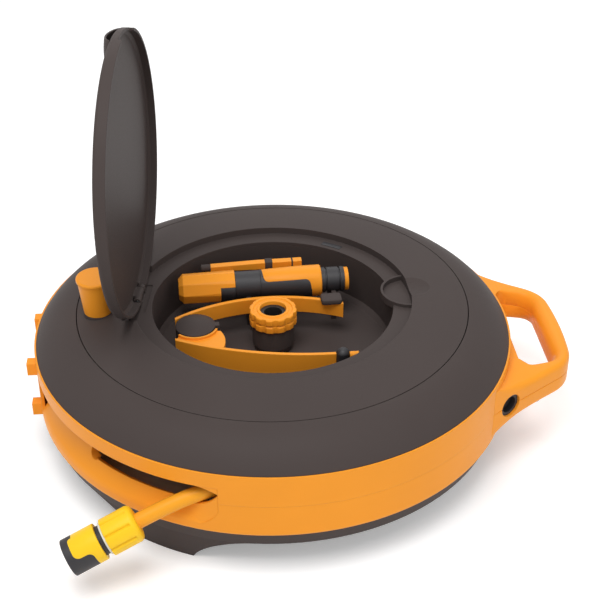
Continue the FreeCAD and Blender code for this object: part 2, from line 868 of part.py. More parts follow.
def make_top_ring():
    inner = D.seam_radius + D.seam_gap / 2
    wall = inner + D.cover_wall
    bottom = D.seam_height - D.seam_wall_depth
    body = turned("top_ring", [
        (D.rim_radius - D.cover_wall, D.casing_top),
        (D.rim_radius, D.casing_top),
        (inner, D.seam_height, D.dome_radius),
        (inner, bottom),
        (inner - D.seam_ledge, bottom),
        (inner - D.seam_ledge, bottom - D.cover_wall),
        (wall, bottom - D.cover_wall),
        (wall, D.seam_height - D.cover_wall * 1.3),
        (D.rim_radius - D.cover_wall, D.casing_top + D.rest_gap, -(D.dome_radius - D.cover_wall)),
    ])
    place(body)


# Turning top

def hollow_ball(body, name, x, y, z, radius):
    """Takes a ball out of the body."""
    before = volume(body)
    item = body.newObject("PartDesign::SubtractiveSphere", name)
    item.setExpression("Radius", radius.formula)
    for axis, offset in zip("xyz", (x, y, z)):
        item.setExpression("Placement.Base." + axis, offset.formula)
    return settle(body, item, before, True)


def make_top_disc():
    edge = D.seam_radius - D.seam_gap / 2
    shelf_bottom = D.shelf_height - D.shelf_wall
    seat_wall = D.seat_radius + D.cover_wall
    rim_bottom = D.seam_height - D.seam_wall_depth + D.rest_gap
    body = turned("top_disc", [
        (D.tray_opening, shelf_bottom),
        (seat_wall, shelf_bottom),
        (seat_wall, D.seat_edge_height - D.cover_wall),
        (edge - D.cover_wall, D.seam_height - D.cover_wall, -D.disc_crown_radius),
        (edge - D.cover_wall, rim_bottom),
        (edge, rim_bottom),
        (edge, D.seam_height),
        (D.seat_radius, D.seat_edge_height, D.disc_crown_radius),
        (D.seat_radius, D.shelf_height),
        (D.tray_opening, D.shelf_height),
    ])
    scoop_x, scoop_y = polar(D.seat_radius, D.scoop_azimuth)
    cup = D.scoop_radius + D.scoop_wall
    extrude(body, "scoop_cup", "XY_Plane", D.scoop_rim_height - shelf_bottom, lift=shelf_bottom,
            circles=[(scoop_x, scoop_y, cup)])
    dish_x, dish_y = polar(D.dish_circle, D.scoop_azimuth)
    extrude(body, "dish_backing", "XY_Plane", D.dish_backing_height - shelf_bottom, lift=shelf_bottom,
            circles=[(dish_x, dish_y, D.dish_backing_radius)])
    half = arcsine(D.scoop_radius / (D.seat_radius * 2)) * 2
    crescent = [
        (*polar(D.seat_radius, D.scoop_azimuth - half), D.scoop_radius),
        (*polar(D.seat_radius, D.scoop_azimuth + half), D.seat_radius),
    ]
    extrude(body, "scoop_hollow", "XY_Plane", D.seat_edge_height, crescent, lift=D.scoop_floor_height,
            cuts=True)
    hollow_ball(body, "dish", dish_x, dish_y, D.dish_floor_height + D.dish_sphere, D.dish_sphere)
    knob_x, knob_y = polar(D.knob_circle, D.knob_azimuth)
    boss_bottom = D.knob_boss_height - D.stud_head * 2
    extrude(body, "knob_boss", "XY_Plane", D.stud_head * 2, lift=boss_bottom,
            circles=[(knob_x, knob_y, D.knob_boss_radius)])
    extrude(body, "stud_hole", "XY_Plane", D.knob_boss_height, lift=boss_bottom - D.stud_head, cuts=True,
            circles=[(knob_x, knob_y, D.stud_radius + D.fit_gap)])
    add_hinge_bay(body, shelf_bottom)
    ride(body)


def block(low_x, high_x, low_y, high_y):
    return [(low_x, low_y), (high_x, low_y), (high_x, high_y), (low_x, high_y)]


def add_hinge_bay(body, shelf_bottom):
    """A bay in the seat's wall for the open lid's edge, a trough for its rim, and two ears for the pin."""
    top = D.seat_edge_height - D.cover_wall + D.rest_gap
    back_half = D.bay_half + D.bay_wall
    extrude(body, "bay_back", "XY_Plane", top - shelf_bottom, lift=shelf_bottom,
            corners=block(-(D.bay_radius + D.bay_wall), -D.seat_radius, -back_half, back_half))
    extrude(body, "bay", "XY_Plane", D.seat_edge_height, lift=D.shelf_height, cuts=True,
            corners=block(-D.bay_radius, -D.tray_opening, -D.bay_half, D.bay_half))
    extrude(body, "trough", "XY_Plane", D.seat_edge_height, lift=D.shelf_height - D.trough_depth, cuts=True,
            corners=block(-D.bay_radius, -(D.hinge_radius * 2 - D.bay_radius), -D.trough_half, D.trough_half))
    ear = D.hinge_pin_radius + D.knuckle_wall + D.rest_gap
    slot = D.knuckle_width + D.rest_gap * 2
    foot = D.shelf_height - D.trough_depth * 2
    extrude(body, "hinge_ears", "XZ_Plane", slot + D.ear_width * 2, [
        (-(D.hinge_radius + ear), foot),
        (-(D.hinge_radius - ear), foot),
        (-(D.hinge_radius - ear), D.hinge_height),
        (-D.hinge_radius, D.hinge_height + ear, ear),
        (-(D.hinge_radius + ear), D.hinge_height, ear),
    ], both=True)
    extrude(body, "hinge_slot", "XZ_Plane", slot, both=True, cuts=True,
            corners=block(-(D.hinge_radius + ear * 2), -(D.hinge_radius - ear * 2),
                          D.hinge_height - ear - D.rest_gap, D.hinge_height + ear * 2))
    extrude(body, "hinge_bore", "XZ_Plane", slot + D.ear_width * 2, both=True, cuts=True,
            circles=[(-D.hinge_radius, D.hinge_height, D.hinge_pin_radius)])


def make_lid():
    """The lid is drawn shut and set down open, turned a right angle up about its hinge."""
    radius = D.seat_radius - D.lid_gap
    bottom = D.shelf_height + D.lid_lift
    shoulder = bottom + D.lid_edge
    crown_edge = shoulder + D.lid_shoulder
    flat = radius - D.lid_shoulder
    crown = (flat * flat + D.lid_crown * D.lid_crown) / (D.lid_crown * 2)
    body = turned("lid", [
        (radius - D.lid_wall, bottom),
        (radius, bottom),
        (radius, shoulder),
        (flat, crown_edge, D.lid_shoulder),
        (0, crown_edge + D.lid_crown, crown),
        (0, crown_edge - D.lid_wall),
        (flat - D.lid_wall, crown_edge - D.lid_wall),
        (radius - D.lid_wall, shoulder - D.lid_wall / 2),
    ])
    scoop_x, scoop_y = polar(D.seat_radius, D.scoop_azimuth)
    cup = D.scoop_radius + D.scoop_wall + D.lid_gap
    extrude(body, "scoop_notch", "XY_Plane", D.scoop_rim_height + D.rest_gap, lift=0, cuts=True,
            circles=[(scoop_x, scoop_y, cup)])
    ear = D.hinge_pin_radius + D.knuckle_wall + D.rest_gap
    ears = D.knuckle_width + (D.rest_gap + D.ear_width + D.lid_gap) * 2
    extrude(body, "ear_notch", "XZ_Plane", ears, both=True, cuts=True,
            corners=block(-(radius + D.lid_gap), -(D.hinge_radius - ear - D.lid_gap), bottom - D.lid_gap,
                          D.hinge_height + ear + D.rest_gap * 2))
    barrel = D.hinge_pin_radius + D.knuckle_wall
    root = crown_edge - D.lid_wall / 2
    extrude(body, "knuckle", "XZ_Plane", D.knuckle_width, [
        (-(D.hinge_radius + barrel), D.hinge_height, barrel),
        (-D.hinge_radius, D.hinge_height - barrel, barrel),
        (-(D.hinge_radius - barrel), D.hinge_height, barrel),
        (-(D.hinge_radius - barrel), root),
        (-D.hinge_radius, root),
        (-D.hinge_radius, D.hinge_height + barrel),
    ], both=True)
    extrude(body, "knuckle_bore", "XZ_Plane", D.knuckle_width * 1.2, both=True, cuts=True,
            circles=[(-D.hinge_radius, D.hinge_height, D.hinge_pin_radius + D.fit_gap)])
    ride(body, D.hinge_height - D.hinge_radius, 0, D.hinge_height + D.hinge_radius, Rotation(Y_AXIS, -90))


def make_hinge_pin():
    pin_item = doc.addObject("Part::Cylinder", "hinge_pin")
    nodes["hinge_pin"] = pin_item
    length = D.knuckle_width + D.rest_gap * 2 + D.ear_width * 2
    pin_item.setExpression("Radius", D.hinge_pin_radius.formula)
    pin_item.setExpression("Height", length.formula)
    ride(pin_item, -D.hinge_radius, length / 2, D.hinge_height, Rotation(X_AXIS, 90))


def make_knob():
    knob_x, knob_y = polar(D.knob_circle, D.knob_azimuth)
    bottom = D.knob_boss_height + D.rest_gap
    top = bottom + D.knob_height
    bore = D.stud_radius + D.fit_gap
    body = turned("winding_knob", [
        (bore, bottom),
        (D.knob_foot_radius, bottom),
        (D.knob_head_radius, top),
        (0, top),
        (0, top - D.knob_cap),
        (bore, top - D.knob_cap),
    ])
    ride(body, knob_x, knob_y)
    body = turned("knob_cap", [
        (0, top),
        (D.knob_cap_radius, top),
        (D.knob_cap_radius, top + D.knob_cap / 2),
        (D.knob_cap_radius - D.knob_cap / 2, top + D.knob_cap, D.knob_cap / 2),
        (0, top + D.knob_cap),
    ])
    ride(body, knob_x, knob_y)
    head = D.knob_boss_height - D.stud_head * 2
    body = turned("knob_stud", [
        (0, head - D.stud_head),
        (D.stud_head_radius, head - D.stud_head),
        (D.stud_head_radius, head),
        (D.stud_radius, head),
        (D.stud_radius, top - D.knob_cap - D.rest_gap),
        (0, top - D.knob_cap - D.rest_gap),
    ])
    ride(body, knob_x, knob_y)


# Drum, spindle and water way

def make_drum():
    bottom = D.floor_height + D.spindle_flange + D.rest_gap
    floor = bottom + D.flange_wall
    body = turned("drum", [
        (D.spindle_radius + D.fit_gap, bottom),
        (D.flange_radius, bottom),
        (D.flange_radius, floor),
        (D.core_radius, floor),
        (D.core_radius, D.core_top),
        (D.core_radius - D.core_wall, D.core_top),
        (D.core_radius - D.core_wall, floor),
        (D.hub_radius, floor),
        (D.hub_radius, D.hub_top),
        (D.spindle_radius + D.fit_gap, D.hub_top),
    ])
    extrude(body, "outlet_hole", "XZ_Plane", D.core_radius * 2, cuts=True,
            circles=[(0, D.outlet_height, D.outlet_radius + D.fit_gap)])
    place(body)
    inner = D.core_radius
    body = turned("upper_flange", [
        (inner, D.upper_flange_height),
        (D.flange_radius, D.upper_flange_height),
        (D.flange_radius, D.upper_flange_height + D.flange_wall),
        (inner + D.flange_wall, D.upper_flange_height + D.flange_wall),
        (inner + D.flange_wall, D.upper_flange_height + D.flange_wall + D.collar_depth),
        (inner, D.upper_flange_height + D.flange_wall + D.collar_depth),
    ])
    place(body)
    body = turned("drum_outlet", [
        (D.outlet_bore, D.spindle_radius + D.rest_gap * 2),
        (D.outlet_radius, D.spindle_radius + D.rest_gap * 2),
        (D.outlet_radius, D.core_radius - D.rest_gap),
        (D.outlet_bore, D.core_radius - D.rest_gap),
    ])
    place(body, 0, 0, D.outlet_height, Rotation(X_AXIS, 90))


def make_spindle():
    groove = D.spindle_radius - D.seal_section * 2
    low = D.outlet_height - D.seal_spacing / 2
    high = D.outlet_height + D.seal_spacing / 2
    half = D.seal_section * 1.2
    body = turned("spindle", [
        (D.spindle_bore, D.floor_height),
        (D.spindle_flange_radius, D.floor_height),
        (D.spindle_flange_radius, D.floor_height + D.spindle_flange),
        (D.spindle_radius, D.floor_height + D.spindle_flange),
        (D.spindle_radius, low - half),
        (groove, low - half),
        (groove, low + half),
        (D.spindle_radius, low + half),
        (D.spindle_radius, high - half),
        (groove, high - half),
        (groove, high + half),
        (D.spindle_radius, high + half),
        (D.spindle_radius, D.spindle_top),
        (0, D.spindle_top),
        (0, D.spindle_top - D.spindle_flange),
        (D.spindle_bore, D.spindle_top - D.spindle_flange),
    ])
    extrude(body, "spindle_port", "XZ_Plane", D.spindle_radius * 2, cuts=True,
            circles=[(0, D.outlet_height, D.outlet_bore)])
    place(body)
    body = new_body("spindle_seals")
    middle = D.spindle_radius - D.seal_section
    for height in (low, high):
        revolve(body, "seal", [
            (middle - D.seal_section, height, D.seal_section),
            (middle, height - D.seal_section, D.seal_section),
            (middle + D.seal_section, height, D.seal_section),
            (middle, height + D.seal_section, D.seal_section),
        ])
    place(body)
    washer = D.spindle_top + D.washer_wall
    body = turned("hub_washer", [
        (D.screw_radius + D.fit_gap, D.spindle_top),
        (D.washer_radius, D.spindle_top),
        (D.washer_radius, washer),
        (D.screw_radius + D.fit_gap, washer),
    ])
    place(body)
    body = turned("hub_screw", [
        (0, D.spindle_top),
        (D.screw_radius, D.spindle_top),
        (D.screw_radius, washer),
        (D.screw_head_radius, washer),
        (D.screw_head_radius, washer + D.screw_head),
        (0, washer + D.screw_head),
    ])
    place(body)


def rounded_path(points, radii):
    """Straight runs between points, joined by tangent arcs of the radii given for the inner points."""
    edges = []
    start = points[0]
    for before, corner, after, radius in zip(points, points[1:], points[2:], radii):
        inward = (before - corner).normalize()
        outward = (after - corner).normalize()
        half = (math.pi - inward.getAngle(outward)) / 2
        reach = radius * math.tan(half)
        first = corner + inward * reach
        last = corner + outward * reach
        middle = corner + (inward + outward).normalize() * (radius / math.cos(half) - radius)
        edges.append(Part.LineSegment(start, first).toShape())
        edges.append(Part.Arc(first, middle, last).toShape())
        start = last
    edges.append(Part.LineSegment(start, points[-1]).toShape())
    return Part.Wire(edges)


def tube(path, start, heading, radius, bore=None):
    """A round tube along a path, checked against its section times its length."""
    def swept(size):
        ring = Part.Wire(Part.makeCircle(size, start, heading))
        return path.makePipeShell([ring], True, False)

    shape = swept(radius)
    area = math.pi * radius ** 2
    if bore is not None:
        shape = shape.cut(swept(bore))
        area -= math.pi * bore ** 2
    drift = shape.Volume / (area * path.Length) - 1
    if abs(drift) > 0.01:
        raise RuntimeError("a tube's volume is off by %.3f" % drift)
    return shape


def shaped(label, shape):
    item = doc.addObject("Part::Feature", label)
    item.Shape = shape
    nodes[label] = item
    place(item)


def make_inlet():
    height = D.parting_height.value
    turn = math.radians(D.port_azimuth.value)
    out = Vector(math.cos(turn), math.sin(turn), 0)
    side = Vector(-math.sin(turn), math.cos(turn), 0)
    mouth = out * D.bush_face.value + side * D.port_offset.value + Z_AXIS * height
    body = turned("inlet_bush", [
        (D.pipe_radius + D.fit_gap, 0),
        (D.port_radius - D.fit_gap, 0),
        (D.port_radius - D.fit_gap, D.bush_length),
        (D.bush_mouth_radius, D.bush_length),
        (D.bush_mouth_radius, D.bush_length - D.bush_mouth),
        (D.pipe_radius + D.fit_gap, D.bush_length - D.bush_mouth),
    ])
    bush_x, bush_y = polar(D.bush_face, D.port_azimuth)
    shift_x, shift_y = polar(D.port_offset, D.port_azimuth)
    place(body, bush_x - shift_y, bush_y + shift_x, D.parting_height, Rotation(D.port_azimuth.value, 90, 0))
    drop = math.radians(D.pipe_azimuth.value)
    stand = Vector(math.cos(drop), math.sin(drop), 0) * D.pipe_circle.value
    low = Z_AXIS * D.pipe_height.value
    points = [
        mouth + out * (D.bush_length.value - D.bush_mouth.value),
        stand + Z_AXIS * height,
        stand + low,
        low,
        Z_AXIS * D.floor_height.value,
    ]
    path = rounded_path(points, [D.pipe_bend.value] * 3)
    shaped("inlet_pipe", tube(path, points[0], points[1] - points[0], D.pipe_radius.value, D.pipe_bore.value))


# Hose

def biarc(start, heading, end, far_heading):
    """Two arcs that join smoothly from one point and direction to another."""
    span = end - start
    along = span.dot(heading + far_heading)
    spread = 2 * (1 - heading.dot(far_heading))
    reach = (-along + math.sqrt(along ** 2 + spread * span.dot(span))) / spread
    first = start + heading * reach
    last = end - far_heading * reach
    joint = (first + last) * 0.5
    return [arc_by_tangents(start, first, joint), arc_by_tangents(joint, last, end)]


def arc_by_tangents(start, corner, end):
    middle = (start + end) * 0.5
    turn = math.pi - (start - corner).getAngle(end - corner)
    share = math.tan(turn / 4) / math.tan(turn / 2)
    return Part.Arc(start, middle + (corner - middle) * share, end).toShape()


def make_winding():
    """The outer layer of the wound hose, over a plain core that stands for the layers below it."""
    radius = D.winding_radius.value
    pitch = D.hose_pitch.value
    steps = 4 * int(D.hose_turns.value)
    climb = pitch / (2 * math.pi)

    def spot(step):
        turn = step * math.pi / 2
        height = D.winding_start_height.value + climb * turn
        return Vector(radius * math.cos(turn), radius * math.sin(turn), height)

    def heading(step):
        turn = step * math.pi / 2
        return Vector(-radius * math.sin(turn), radius * math.cos(turn), climb).normalize()

    lead = 2 * D.hose_radius.value
    start = spot(0) - heading(0) * lead
    edges = [Part.LineSegment(start, spot(0)).toShape()]
    for step in range(steps):
        edges += biarc(spot(step), heading(step), spot(step + 1), heading(step + 1))
    edges.append(Part.LineSegment(spot(steps), spot(steps) + heading(steps) * lead).toShape())
    path = Part.Wire(edges)
    gap = pitch * math.cos(math.atan(climb / radius)) - 2 * D.hose_radius.value
    samples = path.discretize(Number=40 * steps)
    apart = [
        (a - b).Length
        for here, a in enumerate(samples)
        for b in samples[here + 80:here + 240]
    ]
    least = min(apart) - 2 * D.hose_radius.value
    print("least gap of the winding to itself %.2f mm, by formula %.2f" % (least, gap))
    shaped("hose_outer_turns", tube(path, start, heading(0), D.hose_radius.value))
    floor = D.floor_height + D.spindle_flange + D.rest_gap + D.flange_wall
    outer = D.winding_radius - D.hose_radius - D.fit_gap
    body = turned("hose_inner_layers", [
        (D.core_radius, floor),
        (outer, floor),
        (outer, D.upper_flange_height),
        (D.core_radius, D.upper_flange_height),
    ])
    place(body)


def make_hose_end():
    radii = []
    for before, corner, after in zip(HOSE_ROUTE, HOSE_ROUTE[1:], HOSE_ROUTE[2:]):
        turn = math.pi - (before - corner).getAngle(after - corner)
        shorter = min((before - corner).Length, (after - corner).Length)
        radii.append(0.45 * shorter / math.tan(turn / 2))
    print("bend radii of the hose end", [round(radius) for radius in radii])
    path = rounded_path(HOSE_ROUTE, radii)
    print("length of the hose end %.1f mm" % path.Length)
    shaped("hose_end", tube(path, HOSE_ROUTE[0], HOSE_ROUTE[1] - HOSE_ROUTE[0], D.hose_radius.value))


# Connector on the hose's end, drawn along Z from the end of the hose

def on_hose(body):
    end = HOSE_ROUTE[-1]
    run = end - HOSE_ROUTE[-2]
    azimuth = math.degrees(math.atan2(run.y, run.x))
    dip = math.degrees(math.asin(-run.z / run.Length))
    place(body, end.x, end.y, end.z, Rotation(azimuth, 90 + dip, 0))


def make_connector():
    neck = D.nut_length
    sleeve = neck + D.neck_length
    grip = sleeve + D.sleeve_length
    face = grip + D.grip_length
    nut = turned("hose_nut", [
        (0, 0),
        (D.nut_radius - D.nut_edge, 0),
        (D.nut_radius, D.nut_edge, D.nut_edge),
        (D.nut_radius, neck),
        (0, neck),
    ])
    groove = extrude(nut, "nut_groove", "XY_Plane", neck, lift=D.nut_edge * 1.5, cuts=True,
                     circles=[(D.nut_radius + D.nut_groove_radius / 2, 0, D.nut_groove_radius)])
    around(nut, "nut_grooves", [groove], D.nut_ribs)
    on_hose(nut)
    body = turned("connector_core", [
        (0, neck),
        (D.neck_radius, neck),
        (D.neck_radius, sleeve),
        (D.barrel_radius, sleeve),
        (D.barrel_radius, face),
        (D.socket_radius, face),
        (D.socket_radius, face - D.socket_depth),
        (0, face - D.socket_depth),
    ])
    on_hose(body)
    body = turned("connector_ring", [
        (D.neck_radius, neck),
        (D.neck_ring_radius, neck),
        (D.neck_ring_radius, neck + D.neck_ring),
        (D.neck_radius, neck + D.neck_ring),
    ])
    on_hose(body)
    bore = D.barrel_radius + D.fit_gap
    start = neck + D.neck_ring + D.sleeve_travel + D.rest_gap
    body = turned("release_sleeve", [
        (D.neck_radius + D.fit_gap, start),
        (D.sleeve_radius, start),
        (D.sleeve_radius, grip),
        (bore, grip),
        (bore, sleeve + D.sleeve_travel + D.rest_gap),
        (D.neck_radius + D.fit_gap, sleeve + D.sleeve_travel + D.rest_gap),
    ])
    tongue = grip + D.tongue_length
    revolve(body, "tongue", [
        (bore, grip),
        (D.sleeve_radius, grip),
        (D.sleeve_radius, tongue),
        (bore, tongue),
    ], D.tongue_start, D.tongue_span)
    on_hose(body)
    body = turned("sleeve_grip", [
        (bore, grip),
        (D.sleeve_radius, grip),
        (D.sleeve_radius, face + D.sleeve_travel),
        (bore, face + D.sleeve_travel),
    ])
    revolve(body, "tongue_place", [
        (0, grip - D.rest_gap),
        (D.sleeve_radius * 2, grip - D.rest_gap),
        (D.sleeve_radius * 2, tongue),
        (0, tongue),
    ], D.tongue_start, D.tongue_span, cuts=True)
    on_hose(body)


# Fittings in the tray

def make_tray():
    bottom = D.tray_floor_height - D.tray_wall
    outer = D.tray_opening + D.tray_wall
    rim = D.shelf_height - D.shelf_wall
    body = turned("tray", [
        (0, bottom),
        (outer - D.tray_foot, bottom),
        (outer, bottom + D.tray_foot),
        (outer, D.core_top),
        (outer + D.tray_flange, D.core_top),
        (outer + D.tray_flange, rim),
        (D.tray_opening, rim),
        (D.tray_opening, D.tray_floor_height + D.tray_foot),
        (D.tray_opening - D.tray_foot, D.tray_floor_height),
        (0, D.tray_floor_height),
    ])
    body_start = D.nozzle_start + D.nozzle_head_length + D.nozzle_band_length
    collar_start = body_start + D.nozzle_body_length
    saddles = (
        ("band", body_start - D.nozzle_band_length / 2, D.nozzle_band_radius),
        ("collar", collar_start + D.nozzle_collar_length / 2, D.nozzle_collar_radius),
    )
    for name, along, radius in saddles:
        notch = radius
        top = D.nozzle_height - D.saddle_depth
        square = notch * notch - D.saddle_depth * D.saddle_depth
        half = Size(math.sqrt(square.value), "sqrt(%s)" % square.formula)
        extrude(body, "saddle_" + name, "YZ_Plane", D.saddle_wall, [
            (D.nozzle_side - D.saddle_half, bottom),
            (D.nozzle_side + D.saddle_half, bottom),
            (D.nozzle_side + D.saddle_half, top),
            (D.nozzle_side + half, top),
            (D.nozzle_side, D.nozzle_height - notch, -notch),
            (D.nozzle_side - half, top, -notch),
            (D.nozzle_side - D.saddle_half, top),
        ], lift=along - D.saddle_wall / 2)
    extrude(body, "tap_post", "XY_Plane", D.tap_post_height + D.tray_wall, lift=bottom,
            circles=[(0, 0, D.tap_post_radius)])
    hub = D.sprinkler_top - D.sprinkler_hub_height
    rear = D.sprinkler_top - D.rear_arm_depth
    front = D.sprinkler_top - D.front_arm_depth
    posts = (
        ("hub_post", hub, D.sprinkler_hub_out, D.sprinkler_hub_side),
        ("rear_post", rear, D.rear_post_out, D.rear_post_side),
        ("front_post", front, D.front_arm_right - D.post_radius * 2,
         D.front_arm_right_side + D.front_arm_width / 2),
        ("spike_post", D.spike_height - D.spike_width / 2, D.spike_left + D.spike_length / 2, D.spike_side),
    )
    for name, top, x, y in posts:
        extrude(body, name, "XY_Plane", top - bottom, circles=[(x, y, D.post_radius)], lift=bottom)
    lay(body)


def on_nozzle_line(body):
    lay(body, D.nozzle_start, D.nozzle_side, D.nozzle_height, Rotation(Y_AXIS, 90))


def make_nozzle():
    """Drawn along Z from the spray face and laid along X."""
    band = D.nozzle_head_length
    middle = band + D.nozzle_band_length
    collar = middle + D.nozzle_body_length
    tip = collar + D.nozzle_collar_length
    head = new_body("nozzle_head")
    step = as_size(360.0) / D.nozzle_facets
    facet = [step * k for k in range(D.nozzle_facets.value)]
    extrude(head, "head_facets", "XY_Plane", band, [polar(D.nozzle_head_radius, angle) for angle in facet])
    extrude(head, "neck_hole", "XY_Plane", D.nozzle_neck_length + D.rest_gap,
            circles=[(0, 0, D.nozzle_neck_radius + D.fit_gap)],
            lift=band - D.nozzle_neck_length - D.rest_gap, cuts=True)
    extrude(head, "spray_hole", "XY_Plane", D.nozzle_neck_length, lift=0, cuts=True,
            circles=[(0, 0, D.nozzle_bore)])
    on_nozzle_line(head)
    body = turned("nozzle_band", [
        (0, band - D.nozzle_neck_length),
        (D.nozzle_neck_radius, band - D.nozzle_neck_length),
        (D.nozzle_neck_radius, band + D.rest_gap),
        (D.nozzle_band_radius, band + D.rest_gap),
        (D.nozzle_band_radius, middle),
        (0, middle),
    ])
    on_nozzle_line(body)
    body = turned("nozzle_body", [
        (0, middle),
        (D.nozzle_body_radius, middle),
        (D.nozzle_body_radius, collar),
        (0, collar),
    ])
    grip = [
        (D.nozzle_band_radius, middle),
        (D.nozzle_body_radius, middle),
        (D.nozzle_body_radius, collar - D.nozzle_ring_length),
        (D.nozzle_band_radius, collar - D.nozzle_ring_length),
    ]
    revolve(body, "grip_place", grip, D.grip_start, D.grip_span, cuts=True)
    on_nozzle_line(body)
    body = new_body("nozzle_grip")
    revolve(body, "grip", grip, D.grip_start, D.grip_span)
    on_nozzle_line(body)
    groove = D.nozzle_collar_groove
    pitch = D.nozzle_collar_length / 4
    body = turned("nozzle_collar", [
        (0, collar),
        (D.nozzle_collar_radius, collar),
        (D.nozzle_collar_radius, collar + pitch - groove),
        (D.nozzle_collar_radius - groove, collar + pitch - groove),
        (D.nozzle_collar_radius - groove, collar + pitch),
        (D.nozzle_collar_radius, collar + pitch),
        (D.nozzle_collar_radius, collar + pitch * 3),
        (D.nozzle_collar_radius - groove, collar + pitch * 3),
        (D.nozzle_collar_radius - groove, collar + pitch * 3 + groove),
        (D.nozzle_collar_radius, collar + pitch * 3 + groove),
        (D.nozzle_collar_radius, tip),
        (0, tip),
    ])
    on_nozzle_line(body)
    body = turned("nozzle_tip", [
        (D.nozzle_bore, tip),
        (D.nozzle_tip_radius, tip),
        (D.nozzle_tip_radius, tip + D.nozzle_tip_length),
        (D.nozzle_bore, tip + D.nozzle_tip_length),
    ])
    on_nozzle_line(body)


def make_tap_connector():
    ring_bottom = D.tap_ring_top - D.tap_ring_height
    waist = D.tap_ring_top - D.tap_ring_height / 2
    ring = turned("tap_ring", [
        (D.tap_ring_bore, ring_bottom),
        (D.tap_ring_radius, ring_bottom),
        (D.tap_ring_radius, waist - D.tap_ring_waist),
        (D.tap_ring_radius - D.tap_ring_waist, waist),
        (D.tap_ring_radius, waist + D.tap_ring_waist),
        (D.tap_ring_radius, D.tap_ring_top - D.tap_ring_waist),
        (D.tap_ring_radius - D.tap_ring_waist, D.tap_ring_top, D.tap_ring_waist),
        (D.tap_ring_bore, D.tap_ring_top),
    ])
    groove = extrude(ring, "tap_groove", "XY_Plane", D.tap_ring_height, lift=ring_bottom, cuts=True,
                     circles=[(D.tap_ring_radius + D.tap_groove_radius / 2, 0, D.tap_groove_radius)])
    around(ring, "tap_knurl", [groove], D.tap_grooves)
    lay(ring)
    post = D.tap_post_radius + D.rest_gap
    body = turned("tap_body", [
        (post, D.tray_floor_height),
        (D.tap_foot_radius, D.tray_floor_height),
        (D.tap_body_radius, D.tray_floor_height + D.tap_foot_height),
        (D.tap_body_radius, ring_bottom),
        (post, ring_bottom),
    ])
    lay(body)
    body = turned("tap_washer", [
        (post, ring_bottom),
        (D.tap_ring_bore, ring_bottom),
        (D.tap_ring_bore, ring_bottom + D.tap_washer),
        (post, ring_bottom + D.tap_washer),
    ])
    lay(body)


